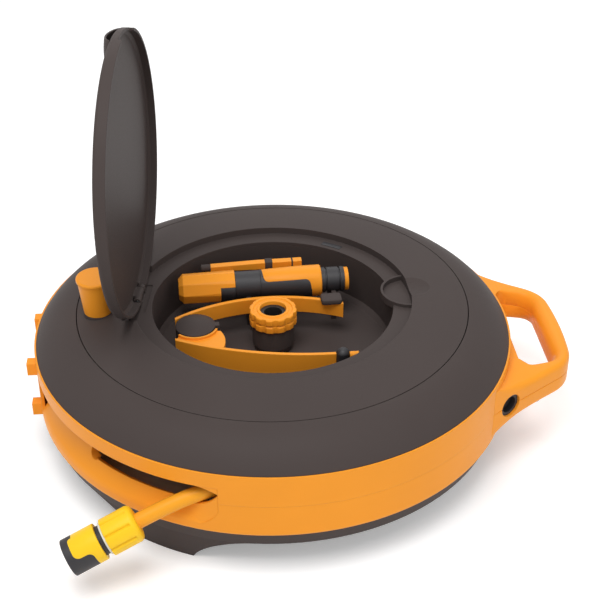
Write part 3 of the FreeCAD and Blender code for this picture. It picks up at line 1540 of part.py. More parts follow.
def make_sprinkler():
    top = D.sprinkler_top
    hub_x, hub_y, hub_r = D.sprinkler_hub_out, D.sprinkler_hub_side, D.sprinkler_hub_radius
    dome = (hub_r * hub_r + D.sprinkler_hub_dome * D.sprinkler_hub_dome) / (D.sprinkler_hub_dome * 2)
    body = turned("sprinkler_hub", [
        (0, top - D.sprinkler_hub_height),
        (hub_r, top - D.sprinkler_hub_height),
        (hub_r, top),
        (0, top + D.sprinkler_hub_dome, dome),
    ])
    extrude(body, "hub_nub", "XY_Plane", D.nub_height, lift=top - D.nub_height,
            corners=block(hub_r - D.nub_length, hub_r + D.nub_length / 2, -D.nub_half, D.nub_half))
    lay(body, hub_x, hub_y)
    rear = new_body("sprinkler_rear_arm")
    extrude(rear, "rear_arm", "XY_Plane", D.rear_arm_depth, [
        (D.rear_arm_left, D.rear_arm_left_side, D.rear_arm_bow),
        (D.rear_arm_left, D.rear_arm_left_side - D.rear_arm_width),
        (D.rear_arm_right, D.rear_arm_right_side - D.rear_arm_width, -D.rear_arm_bow),
        (D.rear_arm_right, D.rear_arm_right_side),
    ], lift=top - D.rear_arm_depth)
    extrude(rear, "rear_hub_seat", "XY_Plane", top, lift=0, cuts=True,
            circles=[(hub_x, hub_y, hub_r + D.arm_gap)])
    lay(rear)
    front = new_body("sprinkler_front_arm")
    depth = D.front_arm_depth
    extrude(front, "front_arm", "XY_Plane", depth, [
        (D.front_arm_left, D.front_arm_left_side),
        (D.front_arm_right, D.front_arm_right_side, D.front_arm_bow),
        (D.front_arm_right, D.front_arm_right_side + D.front_arm_width),
        (D.front_arm_left, D.front_arm_left_side + D.front_arm_width, -D.front_arm_bow),
    ], lift=top - depth)
    seat = hub_r + D.arm_gap
    rim = seat + D.cup_rim
    first, last = polar(1, D.cup_rim_start), polar(1, D.cup_rim_end)
    extrude(front, "front_arm_cup", "XY_Plane", depth - D.cup_drop, [
        (D.front_arm_left, D.front_arm_left_side + D.front_arm_width / 2),
        (D.cup_root_out, D.cup_root_side, D.front_arm_bow),
        (D.cup_tip_out, D.cup_tip_side, D.cup_bend),
        (hub_x + rim * last[0], hub_y + rim * last[1]),
        (hub_x + rim * first[0], hub_y + rim * first[1]),
    ], lift=top - depth)
    extrude(front, "front_arm_rim", "XY_Plane", depth, [
        (hub_x + rim * first[0], hub_y + rim * first[1]),
        (hub_x + rim * last[0], hub_y + rim * last[1], rim),
        (hub_x + seat * last[0], hub_y + seat * last[1]),
        (hub_x + seat * first[0], hub_y + seat * first[1], -seat),
    ], lift=top - depth)
    extrude(front, "hub_seat", "XY_Plane", top, lift=0, cuts=True, circles=[(hub_x, hub_y, seat)])
    lay(front)
    body = turned("sprinkler_clip", [
        (0, top),
        (D.clip_radius, top),
        (D.clip_radius, top + D.clip_height / 2),
        (D.clip_radius / 2, top + D.clip_height),
        (0, top + D.clip_height),
    ])
    lay(body, D.rear_arm_right - D.clip_radius * 2, D.rear_arm_right_side - D.rear_arm_width / 3)
    swivel_x = D.front_arm_right + D.swivel_radius
    swivel_y = D.front_arm_right_side + D.front_arm_width / 2
    dome = (D.swivel_radius * D.swivel_radius + D.swivel_dome * D.swivel_dome) / (D.swivel_dome * 2)
    body = turned("sprinkler_swivel", [
        (0, top - D.swivel_height),
        (D.swivel_radius, top - D.swivel_height),
        (D.swivel_radius, top),
        (0, top + D.swivel_dome, dome),
    ])
    lay(body, swivel_x, swivel_y)
    body = turned("sprinkler_jet", [
        (0, 0),
        (D.jet_radius, 0),
        (D.jet_radius, D.jet_length),
        (0, D.jet_length),
    ])
    lay(body, swivel_x + D.swivel_radius, swivel_y, top - D.jet_radius, Rotation(Y_AXIS, 90))


def make_spike():
    body = new_body("spike_bar")
    low = D.spike_height - D.spike_width / 2
    extrude(body, "spike_bar_side", "XZ_Plane", D.spike_width, [
        (D.spike_left, D.spike_height - D.spike_thin / 2),
        (D.spike_left + D.spike_length / 2, low),
        (D.spike_left + D.spike_length, low),
        (D.spike_left + D.spike_length, low + D.spike_width),
        (D.spike_left + D.spike_length / 2, low + D.spike_width),
        (D.spike_left, D.spike_height + D.spike_thin / 2),
    ], both=True)
    lay(body, 0, D.spike_side)
    body = turned("spike_tip", [
        (0, -D.spike_tip_length),
        (D.spike_tip_radius, -D.spike_tip_length),
        (D.spike_tip_radius, 0),
        (0, 0),
    ])
    lay(body, D.spike_left, D.spike_side, D.spike_height, Rotation(Y_AXIS, 90))


def write_parts():
    doc.recompute()
    for item in doc.Objects:
        if "Invalid" in item.State or "Error" in item.State:
            raise RuntimeError("%s did not recompute: %s" % (item.Label, item.State))
    os.makedirs("parts", exist_ok=True)
    for label, item in nodes.items():
        shape = item.Shape
        if shape.isNull() or not shape.isValid() or not shape.Solids:
            raise RuntimeError("%s has no valid shape" % label)
        shape.exportStep("parts/%s.step" % label)
        print("%-20s %d solids, %.0f mm3" % (label, len(shape.Solids), shape.Volume))


make_base()
make_lower_shell()
make_upper_shell()
make_handles()
make_screws()
make_top_ring()
make_top_disc()
make_lid()
make_hinge_pin()
make_knob()
make_drum()
make_spindle()
make_inlet()
make_winding()
make_hose_end()
make_connector()
make_tray()
make_nozzle()
make_tap_connector()
make_sprinkler()
make_spike()
write_parts()
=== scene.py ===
import json
import math

import bpy
from bpy.props import FloatProperty, FloatVectorProperty, IntProperty, PointerProperty
from mathutils import Matrix, Vector

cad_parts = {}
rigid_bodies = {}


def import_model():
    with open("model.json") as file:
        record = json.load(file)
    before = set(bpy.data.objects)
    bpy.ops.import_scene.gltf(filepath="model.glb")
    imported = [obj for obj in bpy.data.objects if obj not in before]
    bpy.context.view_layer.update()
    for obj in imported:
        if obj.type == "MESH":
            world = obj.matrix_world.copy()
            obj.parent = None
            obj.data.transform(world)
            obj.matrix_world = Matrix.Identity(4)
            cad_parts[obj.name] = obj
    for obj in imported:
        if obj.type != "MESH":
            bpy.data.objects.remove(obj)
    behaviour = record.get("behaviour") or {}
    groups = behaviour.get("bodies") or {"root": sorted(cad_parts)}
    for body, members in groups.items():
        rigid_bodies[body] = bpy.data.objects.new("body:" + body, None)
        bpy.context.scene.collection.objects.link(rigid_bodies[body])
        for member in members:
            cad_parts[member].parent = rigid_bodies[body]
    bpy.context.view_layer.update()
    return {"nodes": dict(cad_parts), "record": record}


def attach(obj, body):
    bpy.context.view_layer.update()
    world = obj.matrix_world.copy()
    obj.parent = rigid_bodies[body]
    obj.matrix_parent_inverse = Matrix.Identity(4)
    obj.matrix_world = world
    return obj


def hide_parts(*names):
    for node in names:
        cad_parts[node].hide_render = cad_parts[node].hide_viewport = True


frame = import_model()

bl_info = {
    "name": "Hose reel",
    "version": (1, 0, 0),
    "blender": (4, 5, 0),
    "location": "View3D > Sidebar > Hose reel",
    "description": "Winds the hose, finishes the mouldings and sets up the studio",
    "category": "Object",
}

MM = 0.001
# The drum turns about a line this far from the middle of the whole reel, away from the handle.
AXIS_X = -25.0


def linear(code):
    """The linear colour of an sRGB hex value."""
    parts = [int(code[at:at + 2], 16) / 255 for at in (1, 3, 5)]
    return tuple(p / 12.92 if p <= 0.04045 else ((p + 0.055) / 1.055) ** 2.4 for p in parts)


class HoseReelSizes(bpy.types.PropertyGroup):
    """Sizes that a user would change."""

    hose_diameter: FloatProperty(
        name="Hose diameter", description="Outside diameter of the hose",
        default=13 * MM, min=8 * MM, max=20 * MM, unit="LENGTH")
    layers: IntProperty(
        name="Layers", description="Layers of hose on the drum", default=4, min=1, max=4)
    layer_turns: IntProperty(
        name="Turns", description="Turns in one layer of hose", default=4, min=1, max=4)
    outer_radius: FloatProperty(
        name="Winding radius", description="Middle of the outermost layer",
        default=162.1 * MM, min=130 * MM, max=180 * MM, unit="LENGTH")
    layer_step: FloatProperty(
        name="Layer step", description="Distance from one layer's middle to the next",
        default=13.3 * MM, min=10 * MM, max=20 * MM, unit="LENGTH")
    turn_pitch: FloatProperty(
        name="Pitch", description="Distance from one turn to the next along the drum",
        default=13.6 * MM, min=10 * MM, max=20 * MM, unit="LENGTH")
    winding_foot: FloatProperty(
        name="Winding foot", description="Height of the lowest turn's middle",
        default=46.5 * MM, min=40 * MM, max=60 * MM, unit="LENGTH")


class HoseReelColours(bpy.types.PropertyGroup):
    """Colours of the materials."""

    charcoal: FloatVectorProperty(
        name="Charcoal", description="Top, lid, tray and base",
        subtype="COLOR", default=linear("#4A4240"))
    orange: FloatVectorProperty(
        name="Orange", description="Casing, handle, knob and fittings",
        subtype="COLOR", default=linear("#F79D2C"))
    black: FloatVectorProperty(
        name="Black", description="Soft grips and small dark mouldings",
        subtype="COLOR", default=linear("#242225"))
    yellow: FloatVectorProperty(
        name="Yellow", description="Front sleeve of the connector",
        subtype="COLOR", default=linear("#FCCB28"))
    pale: FloatVectorProperty(
        name="Pale", description="Ring on the connector's neck",
        subtype="COLOR", default=linear("#DADAD2"))
    hose: FloatVectorProperty(
        name="Hose", description="Skin of the hose",
        subtype="COLOR", default=linear("#F2A42A"))
    natural: FloatVectorProperty(
        name="Natural", description="Drum and spindle inside the casing",
        subtype="COLOR", default=linear("#B9B5AC"))
    steel: FloatVectorProperty(
        name="Steel", description="Screws and pins",
        subtype="COLOR", default=linear("#C4C6C8"))
    rubber: FloatVectorProperty(
        name="Rubber", description="Seals and washers",
        subtype="COLOR", default=linear("#1D1C1C"))
    floor: FloatVectorProperty(
        name="Floor", description="Studio floor",
        subtype="COLOR", default=linear("#FAFAFA"))


def sizes():
    """The sizes kept with the scene."""
    return bpy.context.scene.hose_reel_sizes


def colours():
    """The colours kept with the scene."""
    return bpy.context.scene.hose_reel_colours


def axis_point(x, y, z):
    """A point given in millimetres from the drum's axis, in metres in the reel's frame."""
    return Vector(((x + AXIS_X) * MM, y * MM, z * MM))


# Materials

def node(tree, kind, inputs=None, **settings):
    """Adds a node, makes its settings, and gives its inputs values or links."""
    made = tree.nodes.new(kind)
    for name, value in settings.items():
        setattr(made, name, value)
    for name, value in (inputs or {}).items():
        if isinstance(value, bpy.types.NodeSocket):
            tree.links.new(value, made.inputs[name])
        else:
            made.inputs[name].default_value = value
    return made


# Size of the slow shifts of colour, in millimetres, and how far they go either way.
FLOW = 60.0
MOTTLE = 0.05
# Edges are rubbed where their rounding turns the surface from the first of these cosines to the second.
RUB_FROM = 0.97
RUB_TO = 0.72
# The grain shifts the roughness by this much either way.
GRAIN_SHIFT = 0.06


def opaque(colour, share=1.0, lift=0.0):
    """A colour made lighter or darker, with full alpha."""
    return tuple(min(1.0, part * share + lift) for part in colour) + (1.0,)


def moulded(name, colour, roughness, grain, relief, edge, worn, sheen=0.5, metallic=0.0):
    """A moulded surface: slow shifts of colour, a fine grain, and edges that are rounded and rubbed.

    The grain's size and relief and the edges' rounding are in millimetres.
    """
    material = bpy.data.materials.new(name)
    material.use_nodes = True
    tree = material.node_tree
    tree.nodes.clear()
    place = node(tree, "ShaderNodeTexCoord").outputs["Object"]
    flow = node(tree, "ShaderNodeTexNoise", {"Vector": place, "Scale": 1 / (FLOW * MM), "Detail": 3.0})
    fine = node(tree, "ShaderNodeTexNoise", {"Vector": place, "Scale": 1 / (grain * MM), "Detail": 2.0})
    base = node(tree, "ShaderNodeMix", {
        0: flow.outputs["Fac"],
        6: opaque(colour, 1 - MOTTLE), 7: opaque(colour, 1 + MOTTLE)}, data_type="RGBA")
    softened = node(tree, "ShaderNodeBevel", {"Radius": edge * MM}, samples=6).outputs["Normal"]
    true = node(tree, "ShaderNodeNewGeometry").outputs["True Normal"]
    across = node(tree, "ShaderNodeVectorMath", {0: softened, 1: true}, operation="DOT_PRODUCT")
    rub = node(tree, "ShaderNodeMapRange", {
        "Value": across.outputs["Value"],
        "From Min": RUB_FROM, "From Max": RUB_TO, "To Min": 0.0, "To Max": worn})
    patchy = node(tree, "ShaderNodeMath", {
        0: rub.outputs["Result"], 1: flow.outputs["Fac"]}, operation="MULTIPLY")
    rubbed = node(tree, "ShaderNodeMix", {
        0: patchy.outputs["Value"], 6: base.outputs[2], 7: opaque(colour, 1.6, 0.05)}, data_type="RGBA")
    rough = node(tree, "ShaderNodeMapRange", {
        "Value": fine.outputs["Fac"], "From Min": 0.3, "From Max": 0.7,
        "To Min": roughness - GRAIN_SHIFT, "To Max": roughness + GRAIN_SHIFT})
    bump = node(tree, "ShaderNodeBump", {
        "Height": fine.outputs["Fac"], "Distance": relief * MM, "Strength": 1.0, "Normal": softened})
    shader = node(tree, "ShaderNodeBsdfPrincipled", {
        "Base Color": rubbed.outputs[2],
        "Roughness": rough.outputs["Result"], "Normal": bump.outputs["Normal"],
        "Metallic": metallic, "Specular IOR Level": sheen})
    out = node(tree, "ShaderNodeOutputMaterial")
    tree.links.new(shader.outputs["BSDF"], out.inputs["Surface"])
    return material


def finishes():
    """The materials, by the name of the record's slot."""
    c = colours()
    return {
        # Polypropylene from a spark-eroded mould: dark, even, with a low satin sheen.
        "charcoal_plastic": moulded(
            "charcoal_polypropylene_moulded", c.charcoal, roughness=0.52, grain=0.9, relief=0.012,
            edge=0.8, worn=0.3, sheen=0.06),
        # ABS from a polished mould: strong colour and a soft gloss.
        "orange_plastic": moulded(
            "orange_abs_moulded", c.orange, roughness=0.38, grain=1.2, relief=0.006,
            edge=1.0, worn=0.3, sheen=0.14),
        # Thermoplastic rubber moulded over the grips: dull and near black.
        "black_soft_plastic": moulded(
            "black_thermoplastic_rubber", c.black, roughness=0.55, grain=0.7, relief=0.015,
            edge=0.6, worn=0.35),
        # ABS again, in a lighter yellow.
        "yellow_plastic": moulded(
            "yellow_abs_moulded", c.yellow, roughness=0.36, grain=1.2, relief=0.006,
            edge=0.8, worn=0.3, sheen=0.16),
        # Acetal, left in its own pale colour: smooth and a little waxy.
        "pale_plastic": moulded(
            "pale_acetal_moulded", c.pale, roughness=0.4, grain=1.0, relief=0.006,
            edge=0.4, worn=0.2),
        # Plasticised PVC, drawn: a smooth skin with a slight gloss.
        "hose": moulded(
            "orange_pvc_extruded", c.hose, roughness=0.4, grain=2.0, relief=0.02,
            edge=0.2, worn=0.0, sheen=0.16),
        # Polypropylene without colour: milky grey and satin.
        "natural_plastic": moulded(
            "natural_polypropylene_moulded", c.natural, roughness=0.5, grain=1.0, relief=0.01,
            edge=0.8, worn=0.2),
        # Steel with a zinc coat: cool grey, bright but not polished.
        "steel": moulded(
            "zinc_plated_steel", c.steel, roughness=0.35, grain=0.6, relief=0.006,
            edge=0.4, worn=0.2, metallic=1.0),
        # Nitrile rubber: black and matt.
        "seal_rubber": moulded(
            "nitrile_rubber_moulded", c.rubber, roughness=0.6, grain=0.5, relief=0.01,
            edge=0.4, worn=0.1),
    }


def finish_of(slot):
    """The material of a slot, made on first use."""
    if not MATERIALS:
        MATERIALS.update(finishes())
    return MATERIALS[slot]


MATERIALS = {}


def coat(piece, slot):
    """Gives a piece the material of its slot."""
    piece.data.materials.clear()
    piece.data.materials.append(finish_of(slot))


def dress(piece, body, slot):
    """Gives a new piece its material and the body that it moves with."""
    coat(piece, slot)
    if piece.parent is None:
        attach(piece, body)


# Modelling

ARC_STEPS = 8
# Steps round a turned piece, and round one whose rim is cut into.
TURN_STEPS = 72
FINE_STEPS = 96
# Points closer than this, in millimetres, are one point.
MERGE = 0.002
# Edges sharper than this, in degrees, are broken.
BREAK_ANGLE = 35
# Length of a cutter that goes through a whole fitting, in millimetres.
CUTTER_DEPTH = 60.0


def add_shape(adder, name, **settings):
    """Adds a primitive with nothing else selected."""
    bpy.ops.object.select_all(action="DESELECT")
    adder(**settings)
    piece = bpy.context.object
    piece.name = name
    return piece


def take(piece):
    """Makes a piece the only one selected."""
    bpy.ops.object.select_all(action="DESELECT")
    piece.select_set(True)
    bpy.context.view_layer.objects.active = piece


def open_mesh(piece):
    """Starts editing a piece with all of its mesh selected."""
    take(piece)
    bpy.ops.object.mode_set(mode="EDIT")
    bpy.ops.mesh.select_all(action="SELECT")


def close_mesh():
    """Merges doubled points, turns the faces outwards and leaves edit mode."""
    bpy.ops.mesh.select_all(action="SELECT")
    bpy.ops.mesh.remove_doubles(threshold=MERGE * MM)
    bpy.ops.mesh.dissolve_degenerate(threshold=MERGE / 2 * MM)
    bpy.ops.mesh.delete_loose(use_verts=True, use_edges=True, use_faces=False)
    bpy.ops.mesh.select_all(action="SELECT")
    bpy.ops.mesh.normals_make_consistent(inside=False)
    bpy.ops.object.mode_set(mode="OBJECT")


def rounded(corners):
    """Points of an outline whose corners are (across, up), or (across, up, radius) where they are rounded."""
    points = []
    for at, corner in enumerate(corners):
        spot = Vector(corner[:2])
        if len(corner) == 2:
            points.append(spot)
            continue
        back = (Vector(corners[at - 1][:2]) - spot).normalized()
        onward = (Vector(corners[(at + 1) % len(corners)][:2]) - spot).normalized()
        half = back.angle(onward) / 2
        middle = spot + (back + onward).normalized() * corner[2] / math.sin(half)
        start = spot + back * corner[2] / math.tan(half) - middle
        end = spot + onward * corner[2] / math.tan(half) - middle
        turns = [start.slerp(end, step / ARC_STEPS) for step in range(ARC_STEPS + 1)]
        points += [middle + turn.normalized() * corner[2] for turn in turns]
    return points


def outlined(name, places, fill):
    """A ring of points, open or filled, at these places in millimetres."""
    piece = add_shape(bpy.ops.mesh.primitive_circle_add, name, vertices=len(places), fill_type=fill)
    for spot, place in zip(piece.data.vertices, places):
        spot.co = Vector(place) * MM
    return piece


def prism(name, corners, depth, matrix):
    """An outline with rounded corners, drawn out to both sides, in the frame of the matrix."""
    piece = outlined(name, [(spot.x, spot.y, -depth / 2) for spot in rounded(corners)], "NGON")
    open_mesh(piece)
    bpy.ops.mesh.extrude_region_move(TRANSFORM_OT_translate={"value": (0, 0, depth * MM)})
    close_mesh()
    piece.data.transform(matrix)
    return piece


def spun(name, corners, steps=TURN_STEPS):
    """A closed outline of (radius, height) corners spun about Z."""
    piece = outlined(name, [(spot.x, 0, spot.y) for spot in rounded(corners)], "NOTHING")
    open_mesh(piece)
    bpy.ops.mesh.spin(steps=steps, angle=2 * math.pi, center=(0, 0, 0), axis=(0, 0, 1))
    close_mesh()
    return piece


def skinned(name, places, faces):
    """A mesh with these faces over places in millimetres."""
    mesh = bpy.data.meshes.new(name)
    mesh.from_pydata([Vector(place) * MM for place in places], [], faces)
    piece = bpy.data.objects.new(name, mesh)
    bpy.context.scene.collection.objects.link(piece)
    return piece


def rod(radius, depth, matrix, sides=64):
    """A round cutter along its own Z."""
    cutter = add_shape(bpy.ops.mesh.primitive_cylinder_add, "cutter", vertices=sides,
                       radius=radius * MM, depth=depth * MM)
    cutter.data.transform(matrix)
    return cutter


def eased(share):
    """A share from 0 to 1 that starts and ends slowly."""
    return share * share * (3 - 2 * share)


def apply_modifier(piece, kind, **settings):
    """Adds a modifier and makes its result the mesh."""
    take(piece)
    added = piece.modifiers.new(kind.lower(), kind)
    for name, value in settings.items():
        setattr(added, name, value)
    bpy.ops.object.modifier_apply(modifier=added.name)


def carve(piece, cutter, operation="DIFFERENCE"):
    """Cuts a piece with another one, which is used up."""
    apply_modifier(piece, "BOOLEAN", operation=operation, object=cutter, solver="MANIFOLD")
    bpy.data.objects.remove(cutter, do_unlink=True)


def part_off(piece, cutter, name):
    """Splits off, as a piece of its own, what lies inside the cutter."""
    other = piece.copy()
    other.data = piece.data.copy()
    other.name = name
    bpy.context.scene.collection.objects.link(other)
    apply_modifier(other, "BOOLEAN", operation="INTERSECT", object=cutter, solver="MANIFOLD")
    carve(piece, cutter)
    return other


def finish_piece(piece, matrix, body, slot, *nodes, edge=0.35, smooth=32):
    """Breaks the edges, sets the piece in its place, gives it its material and the body that it moves with,
    and hides the model's parts that it takes the place of.
    """
    if not piece.data.polygons:
        raise RuntimeError(piece.name + " has no faces left")
    if edge:
        apply_modifier(piece, "BEVEL", width=edge * MM, segments=2, limit_method="ANGLE",
                       angle_limit=math.radians(BREAK_ANGLE), harden_normals=False)
    open_mesh(piece)
    bpy.ops.mesh.normals_make_consistent(inside=False)
    bpy.ops.object.mode_set(mode="OBJECT")
    bpy.ops.object.shade_smooth_by_angle(angle=math.radians(smooth))
    piece.data.transform(matrix)
    dress(piece, body, slot)
    if nodes:
        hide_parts(*nodes)


def side_on(angle):
    """A frame whose first axis lies along Z, and whose second points out at this angle about Z."""
    up = math.radians(angle)
    return Matrix(((0, math.cos(up), -math.sin(up), 0), (0, math.sin(up), math.cos(up), 0), (1, 0, 0, 0),
                   (0, 0, 0, 1)))


def turn_about(axis, angle):
    """A turn in degrees about one of the axes."""
    return Matrix.Rotation(math.radians(angle), 4, axis)


def shift(x, y, z):
    """A shift in millimetres."""
    return Matrix.Translation(Vector((x, y, z)) * MM)


AXIS = shift(AXIS_X, 0, 0)
# The tray and what lies in it are turned a little about the drum's axis.
TRAY = AXIS @ turn_about("Z", 2.6)

# Carrying handle, in millimetres from the drum's axis

PARTING = 75.0
HANDLE_SEAT = 216.3
HANDLE_ROOT = 31.8
GAP_CORNER = (219.0, -53.2)
# Outer edge of the near arm, from beside the finger gap to the middle of the grip, with its arcs' bends.
HANDLE_OUTER = [(236.0, -77.6), (254.0, -65.1), (268.8, -40.0, 35.5), (271.0, 0.0, 364.7)]
# Edge of the finger gap over the same run.
HANDLE_INNER = [GAP_CORNER, (230.0, -61.0, 8.3), (240.6, -57.3), (253.8, -38.7, 19.7), (253.8, 0.0)]
# Below and above the parting: the grip's face, where the flare towards the casing ends, and the flare's bend.
HANDLE_HALVES = {"lower_handle": (59.0, 229.5, -130.2), "upper_handle": (90.0, 229.5, 108.1)}
ROOT_STEPS = 16
ARM_STEPS = 70
# The root starts as a blade that is this share of a step wide.
BLADE = 0.05
# Rounding towards the gap, across and down, and the most of a section's width and height that it takes.
GRIP_ROUND = (10.0, 11.5)
ROUND_LIMIT = (0.6, 0.8)
# The same towards the outside.
GRIP_EDGE = (5.0, 5.5)
EDGE_LIMIT = (0.3, 0.4)
# Share of each arm over which the rounding eases in.
GRIP_EASE = 0.42
SEAM_EDGE = 0.55
SEAM_LIMIT = 0.2
WEB_AZIMUTH = 14.4
WEB_HALF = 55.5
WEB_STEPS = 24
WEB_EDGE = (1.5, 1.5)
PORT_AZIMUTH = 305.2
PORT_OFFSET = 106.8
PORT_MIDDLE = 250.0
PORT_RADIUS = 11.0
PORT_DEPTH = 300.0
SCREW_PLACE = (233.0, 70.0)
SCREW_BORE = 2.1
SCREW_DEPTH = 40.0
# Middle of the screw's bore below the parting.
SCREW_DROP = 16.0


def bent(corners, steps=12):
    """Points along corners (across, up), or (across, up, bend) where the side that ends there is an arc."""
    points = [Vector(corners[0][:2])]
    for before, corner in zip(corners, corners[1:]):
        start, end = Vector(before[:2]), Vector(corner[:2])
        if len(corner) == 2:
            points.append(end)
            continue
        chord = end - start
        left = Vector((-chord.y, chord.x)).normalized()
        middle = (start + end) / 2 + left * math.sqrt(corner[2] ** 2 - chord.length ** 2 / 4)
        turns = [(start - middle).slerp(end - middle, step / steps) for step in range(1, steps + 1)]
        points += [middle + turn.normalized() * corner[2] for turn in turns]
    return points


def along(points, count):
    """Places at even steps along a line of points."""
    marks = [0.0]
    for before, after in zip(points, points[1:]):
        marks.append(marks[-1] + (after - before).length)
    places = []
    for step in range(count):
        want = marks[-1] * step / (count - 1)
        at = next(k for k in range(1, len(marks)) if marks[k] >= want - 1e-6)
        places.append(points[at - 1].lerp(points[at], (want - marks[at - 1]) / (marks[at] - marks[at - 1])))
    return places


def round_casing(start, end, count):
    """Places on the casing's wall between two azimuths."""
    turns = [math.radians(start + (end - start) * step / (count - 1)) for step in range(count)]
    return [Vector((HANDLE_SEAT * math.cos(turn), HANDLE_SEAT * math.sin(turn))) for turn in turns]


def handle_stations():
    """Inner place, outer place and share of the grip's rounding, from the near root round to the far one."""
    corner = math.degrees(math.atan2(GAP_CORNER[1], GAP_CORNER[0]))
    roots = round_casing(-HANDLE_ROOT, corner, ROOT_STEPS)
    rim = along([roots[0], Vector(HANDLE_OUTER[0])], ROOT_STEPS)
    blade = (roots[0].lerp(roots[1], BLADE), rim[0].lerp(rim[1], BLADE), 0.0)
    near = [blade, *((inner, outer, 0.0) for inner, outer in zip(roots[1:], rim[1:]))]
    edges = (along(bent(edge), ARM_STEPS) for edge in (HANDLE_INNER, HANDLE_OUTER))
    for step, (inner, outer) in enumerate(zip(*edges)):
        near.append((inner, outer, eased(min(1.0, step / ARM_STEPS / GRIP_EASE))))
    flip = Vector((1, -1))
    return near + [(inner * flip, outer * flip, share) for inner, outer, share in reversed(near[:-1])]


def web_stations():
    """The strip that joins the arms along the casing's wall."""
    walls = round_casing(-WEB_AZIMUTH, WEB_AZIMUTH, WEB_STEPS)
    edges = along([Vector((GAP_CORNER[0], -WEB_HALF)), Vector((GAP_CORNER[0], WEB_HALF))], WEB_STEPS)
    return [(wall, edge, 0.0) for wall, edge in zip(walls, edges)]


def bar_section(width, height, share, outer_edge):
    """Section of one half from the gap's side to the outside: across, and height off the parting."""
    def within(wanted, limits):
        return (min(size, limit * room) for size, limit, room in zip(wanted, limits, (width, height)))

    round_x, round_y = (size * share for size in within(GRIP_ROUND, ROUND_LIMIT))
    edge_x, edge_y = within(outer_edge, EDGE_LIMIT)
    turns = [math.pi / 2 * step / ARC_STEPS for step in range(ARC_STEPS + 1)]
    seam = min(SEAM_EDGE, width * SEAM_LIMIT)
    inside = [(round_x * (1 - math.cos(turn)), height - round_y * (1 - math.sin(turn))) for turn in turns]
    outside = [(width - edge_x * (1 - math.sin(turn)), height - edge_y * (1 - math.cos(turn)))
               for turn in turns]
    return [(seam, 0), (0, seam), *inside, *outside, (width, seam), (width - seam, 0)]


def bar_skin(name, stations, half, outer_edge):
    """One half of the handle, or of its web, skinned over the sections at its stations."""
    face, flare_end, bend = half
    height = abs(face - PARTING)
    places, faces = [], []
    for inner, outer, share in stations:
        width = (outer - inner).length
        for across, rise in bar_section(width, height, share, outer_edge):
            spot = inner.lerp(outer, across / width)
            run = max(0.0, flare_end - spot.x)
            flare = abs(bend) - math.sqrt(bend * bend - run * run)
            lift = rise * (1 + flare / height)
            places.append((spot.x, spot.y, PARTING + math.copysign(lift, face - PARTING)))
    size = len(places) // len(stations)
    for row in range(len(stations) - 1):
        low, high = row * size, (row + 1) * size
        for at in range(size):
            onward = (at + 1) % size
            faces.append((low + at, low + onward, high + onward, high + at))
    faces += [tuple(range(size)), tuple(range(len(places) - size, len(places)))]
    piece = skinned(name, places, faces)
    open_mesh(piece)
    close_mesh()
    return piece


class HOSEREEL_OT_handle(bpy.types.Operator):
    """Skins both halves of the carrying handle over rounded sections and bores the port and the screws"""

    bl_idname = "hosereel.handle"
    bl_label = "Carrying handle"

    def execute(self, context):
        port = turn_about("Z", PORT_AZIMUTH) @ shift(PORT_MIDDLE, PORT_OFFSET, PARTING) @ turn_about("Y", 90)
        for name, half in HANDLE_HALVES.items():
            bar = bar_skin(name + "_skin", handle_stations(), half, GRIP_EDGE)
            carve(bar, rod(PORT_RADIUS, PORT_DEPTH, port))
            for side in (-1, 1):
                screw = shift(SCREW_PLACE[0], SCREW_PLACE[1] * side, PARTING - SCREW_DROP)
                carve(bar, rod(SCREW_BORE, SCREW_DEPTH, screw))
            web = bar_skin(name + "_web", web_stations(), half, WEB_EDGE)
            finish_piece(bar, AXIS, "casing", "orange_plastic", name, edge=0)
            finish_piece(web, AXIS, "casing", "orange_plastic", edge=0)
        return {"FINISHED"}


# End of the gutter round the hose, in millimetres and degrees about the drum's axis

WALL_RADIUS = 216.3
GUTTER_END = 254.8
# The gutter's cove: the radius that it runs up to, its own bend, and the height where it stands upright.
COVE_RADIUS = 203.5
COVE_BEND = 55.5
COVE_TOP = 90.5
RIDGE_FOOT = 52.1
RIDGE_TOP = 57.2
RIDGE_INSET = 1.9
RAMP_SPAN = 9.8
RAMP_FOOT = 51.0
RAMP_LOW = 66.5
RAMP_RISE = 16.5
BROW_SPAN = 6.1
BROW_DROP = 6.6
BROW_TOP = 91.1
# Height of the brow where it starts.
BROW_LIP = 0.2
# How far the ramp starts below the gutter's face, so that it grows out of it.
RAMP_SUNK = 0.4
SHEET_WALL = 2.2


def gutter_radius(height):
    """Radius of the gutter's face at a height."""
    if height < RIDGE_TOP:
        return WALL_RADIUS - RIDGE_INSET * max(0.0, (height - RIDGE_FOOT) / (RIDGE_TOP - RIDGE_FOOT))
    return COVE_RADIUS + COVE_BEND - math.sqrt(COVE_BEND ** 2 - (COVE_TOP - height) ** 2)


def ramp_columns(steps=28, rows=24):
    """The ramp's face, column by column up to its upper edge: azimuth, radius and height."""
    for step in range(steps + 1):
        share = step / steps
        top = RAMP_LOW + RAMP_RISE * share ** 3
        column = []
        for row in range(rows + 1):
            height = RAMP_FOOT + (top - RAMP_FOOT) * row / rows
            start = gutter_radius(height) - RAMP_SUNK
            radius = start + (WALL_RADIUS - start) * eased(share)
            column.append((GUTTER_END - RAMP_SPAN * (1 - share), radius, height))
        yield column


def brow_columns(steps=20, rows=4):
    """The brow's face, which draws the opening to a point above the ramp."""
    for step in range(steps + 1):
        share = step / steps
        drop = BROW_LIP + BROW_DROP * share ** 2
        yield [(GUTTER_END - BROW_SPAN * (1 - share), WALL_RADIUS, BROW_TOP - drop * (1 - row / rows))
               for row in range(rows + 1)]


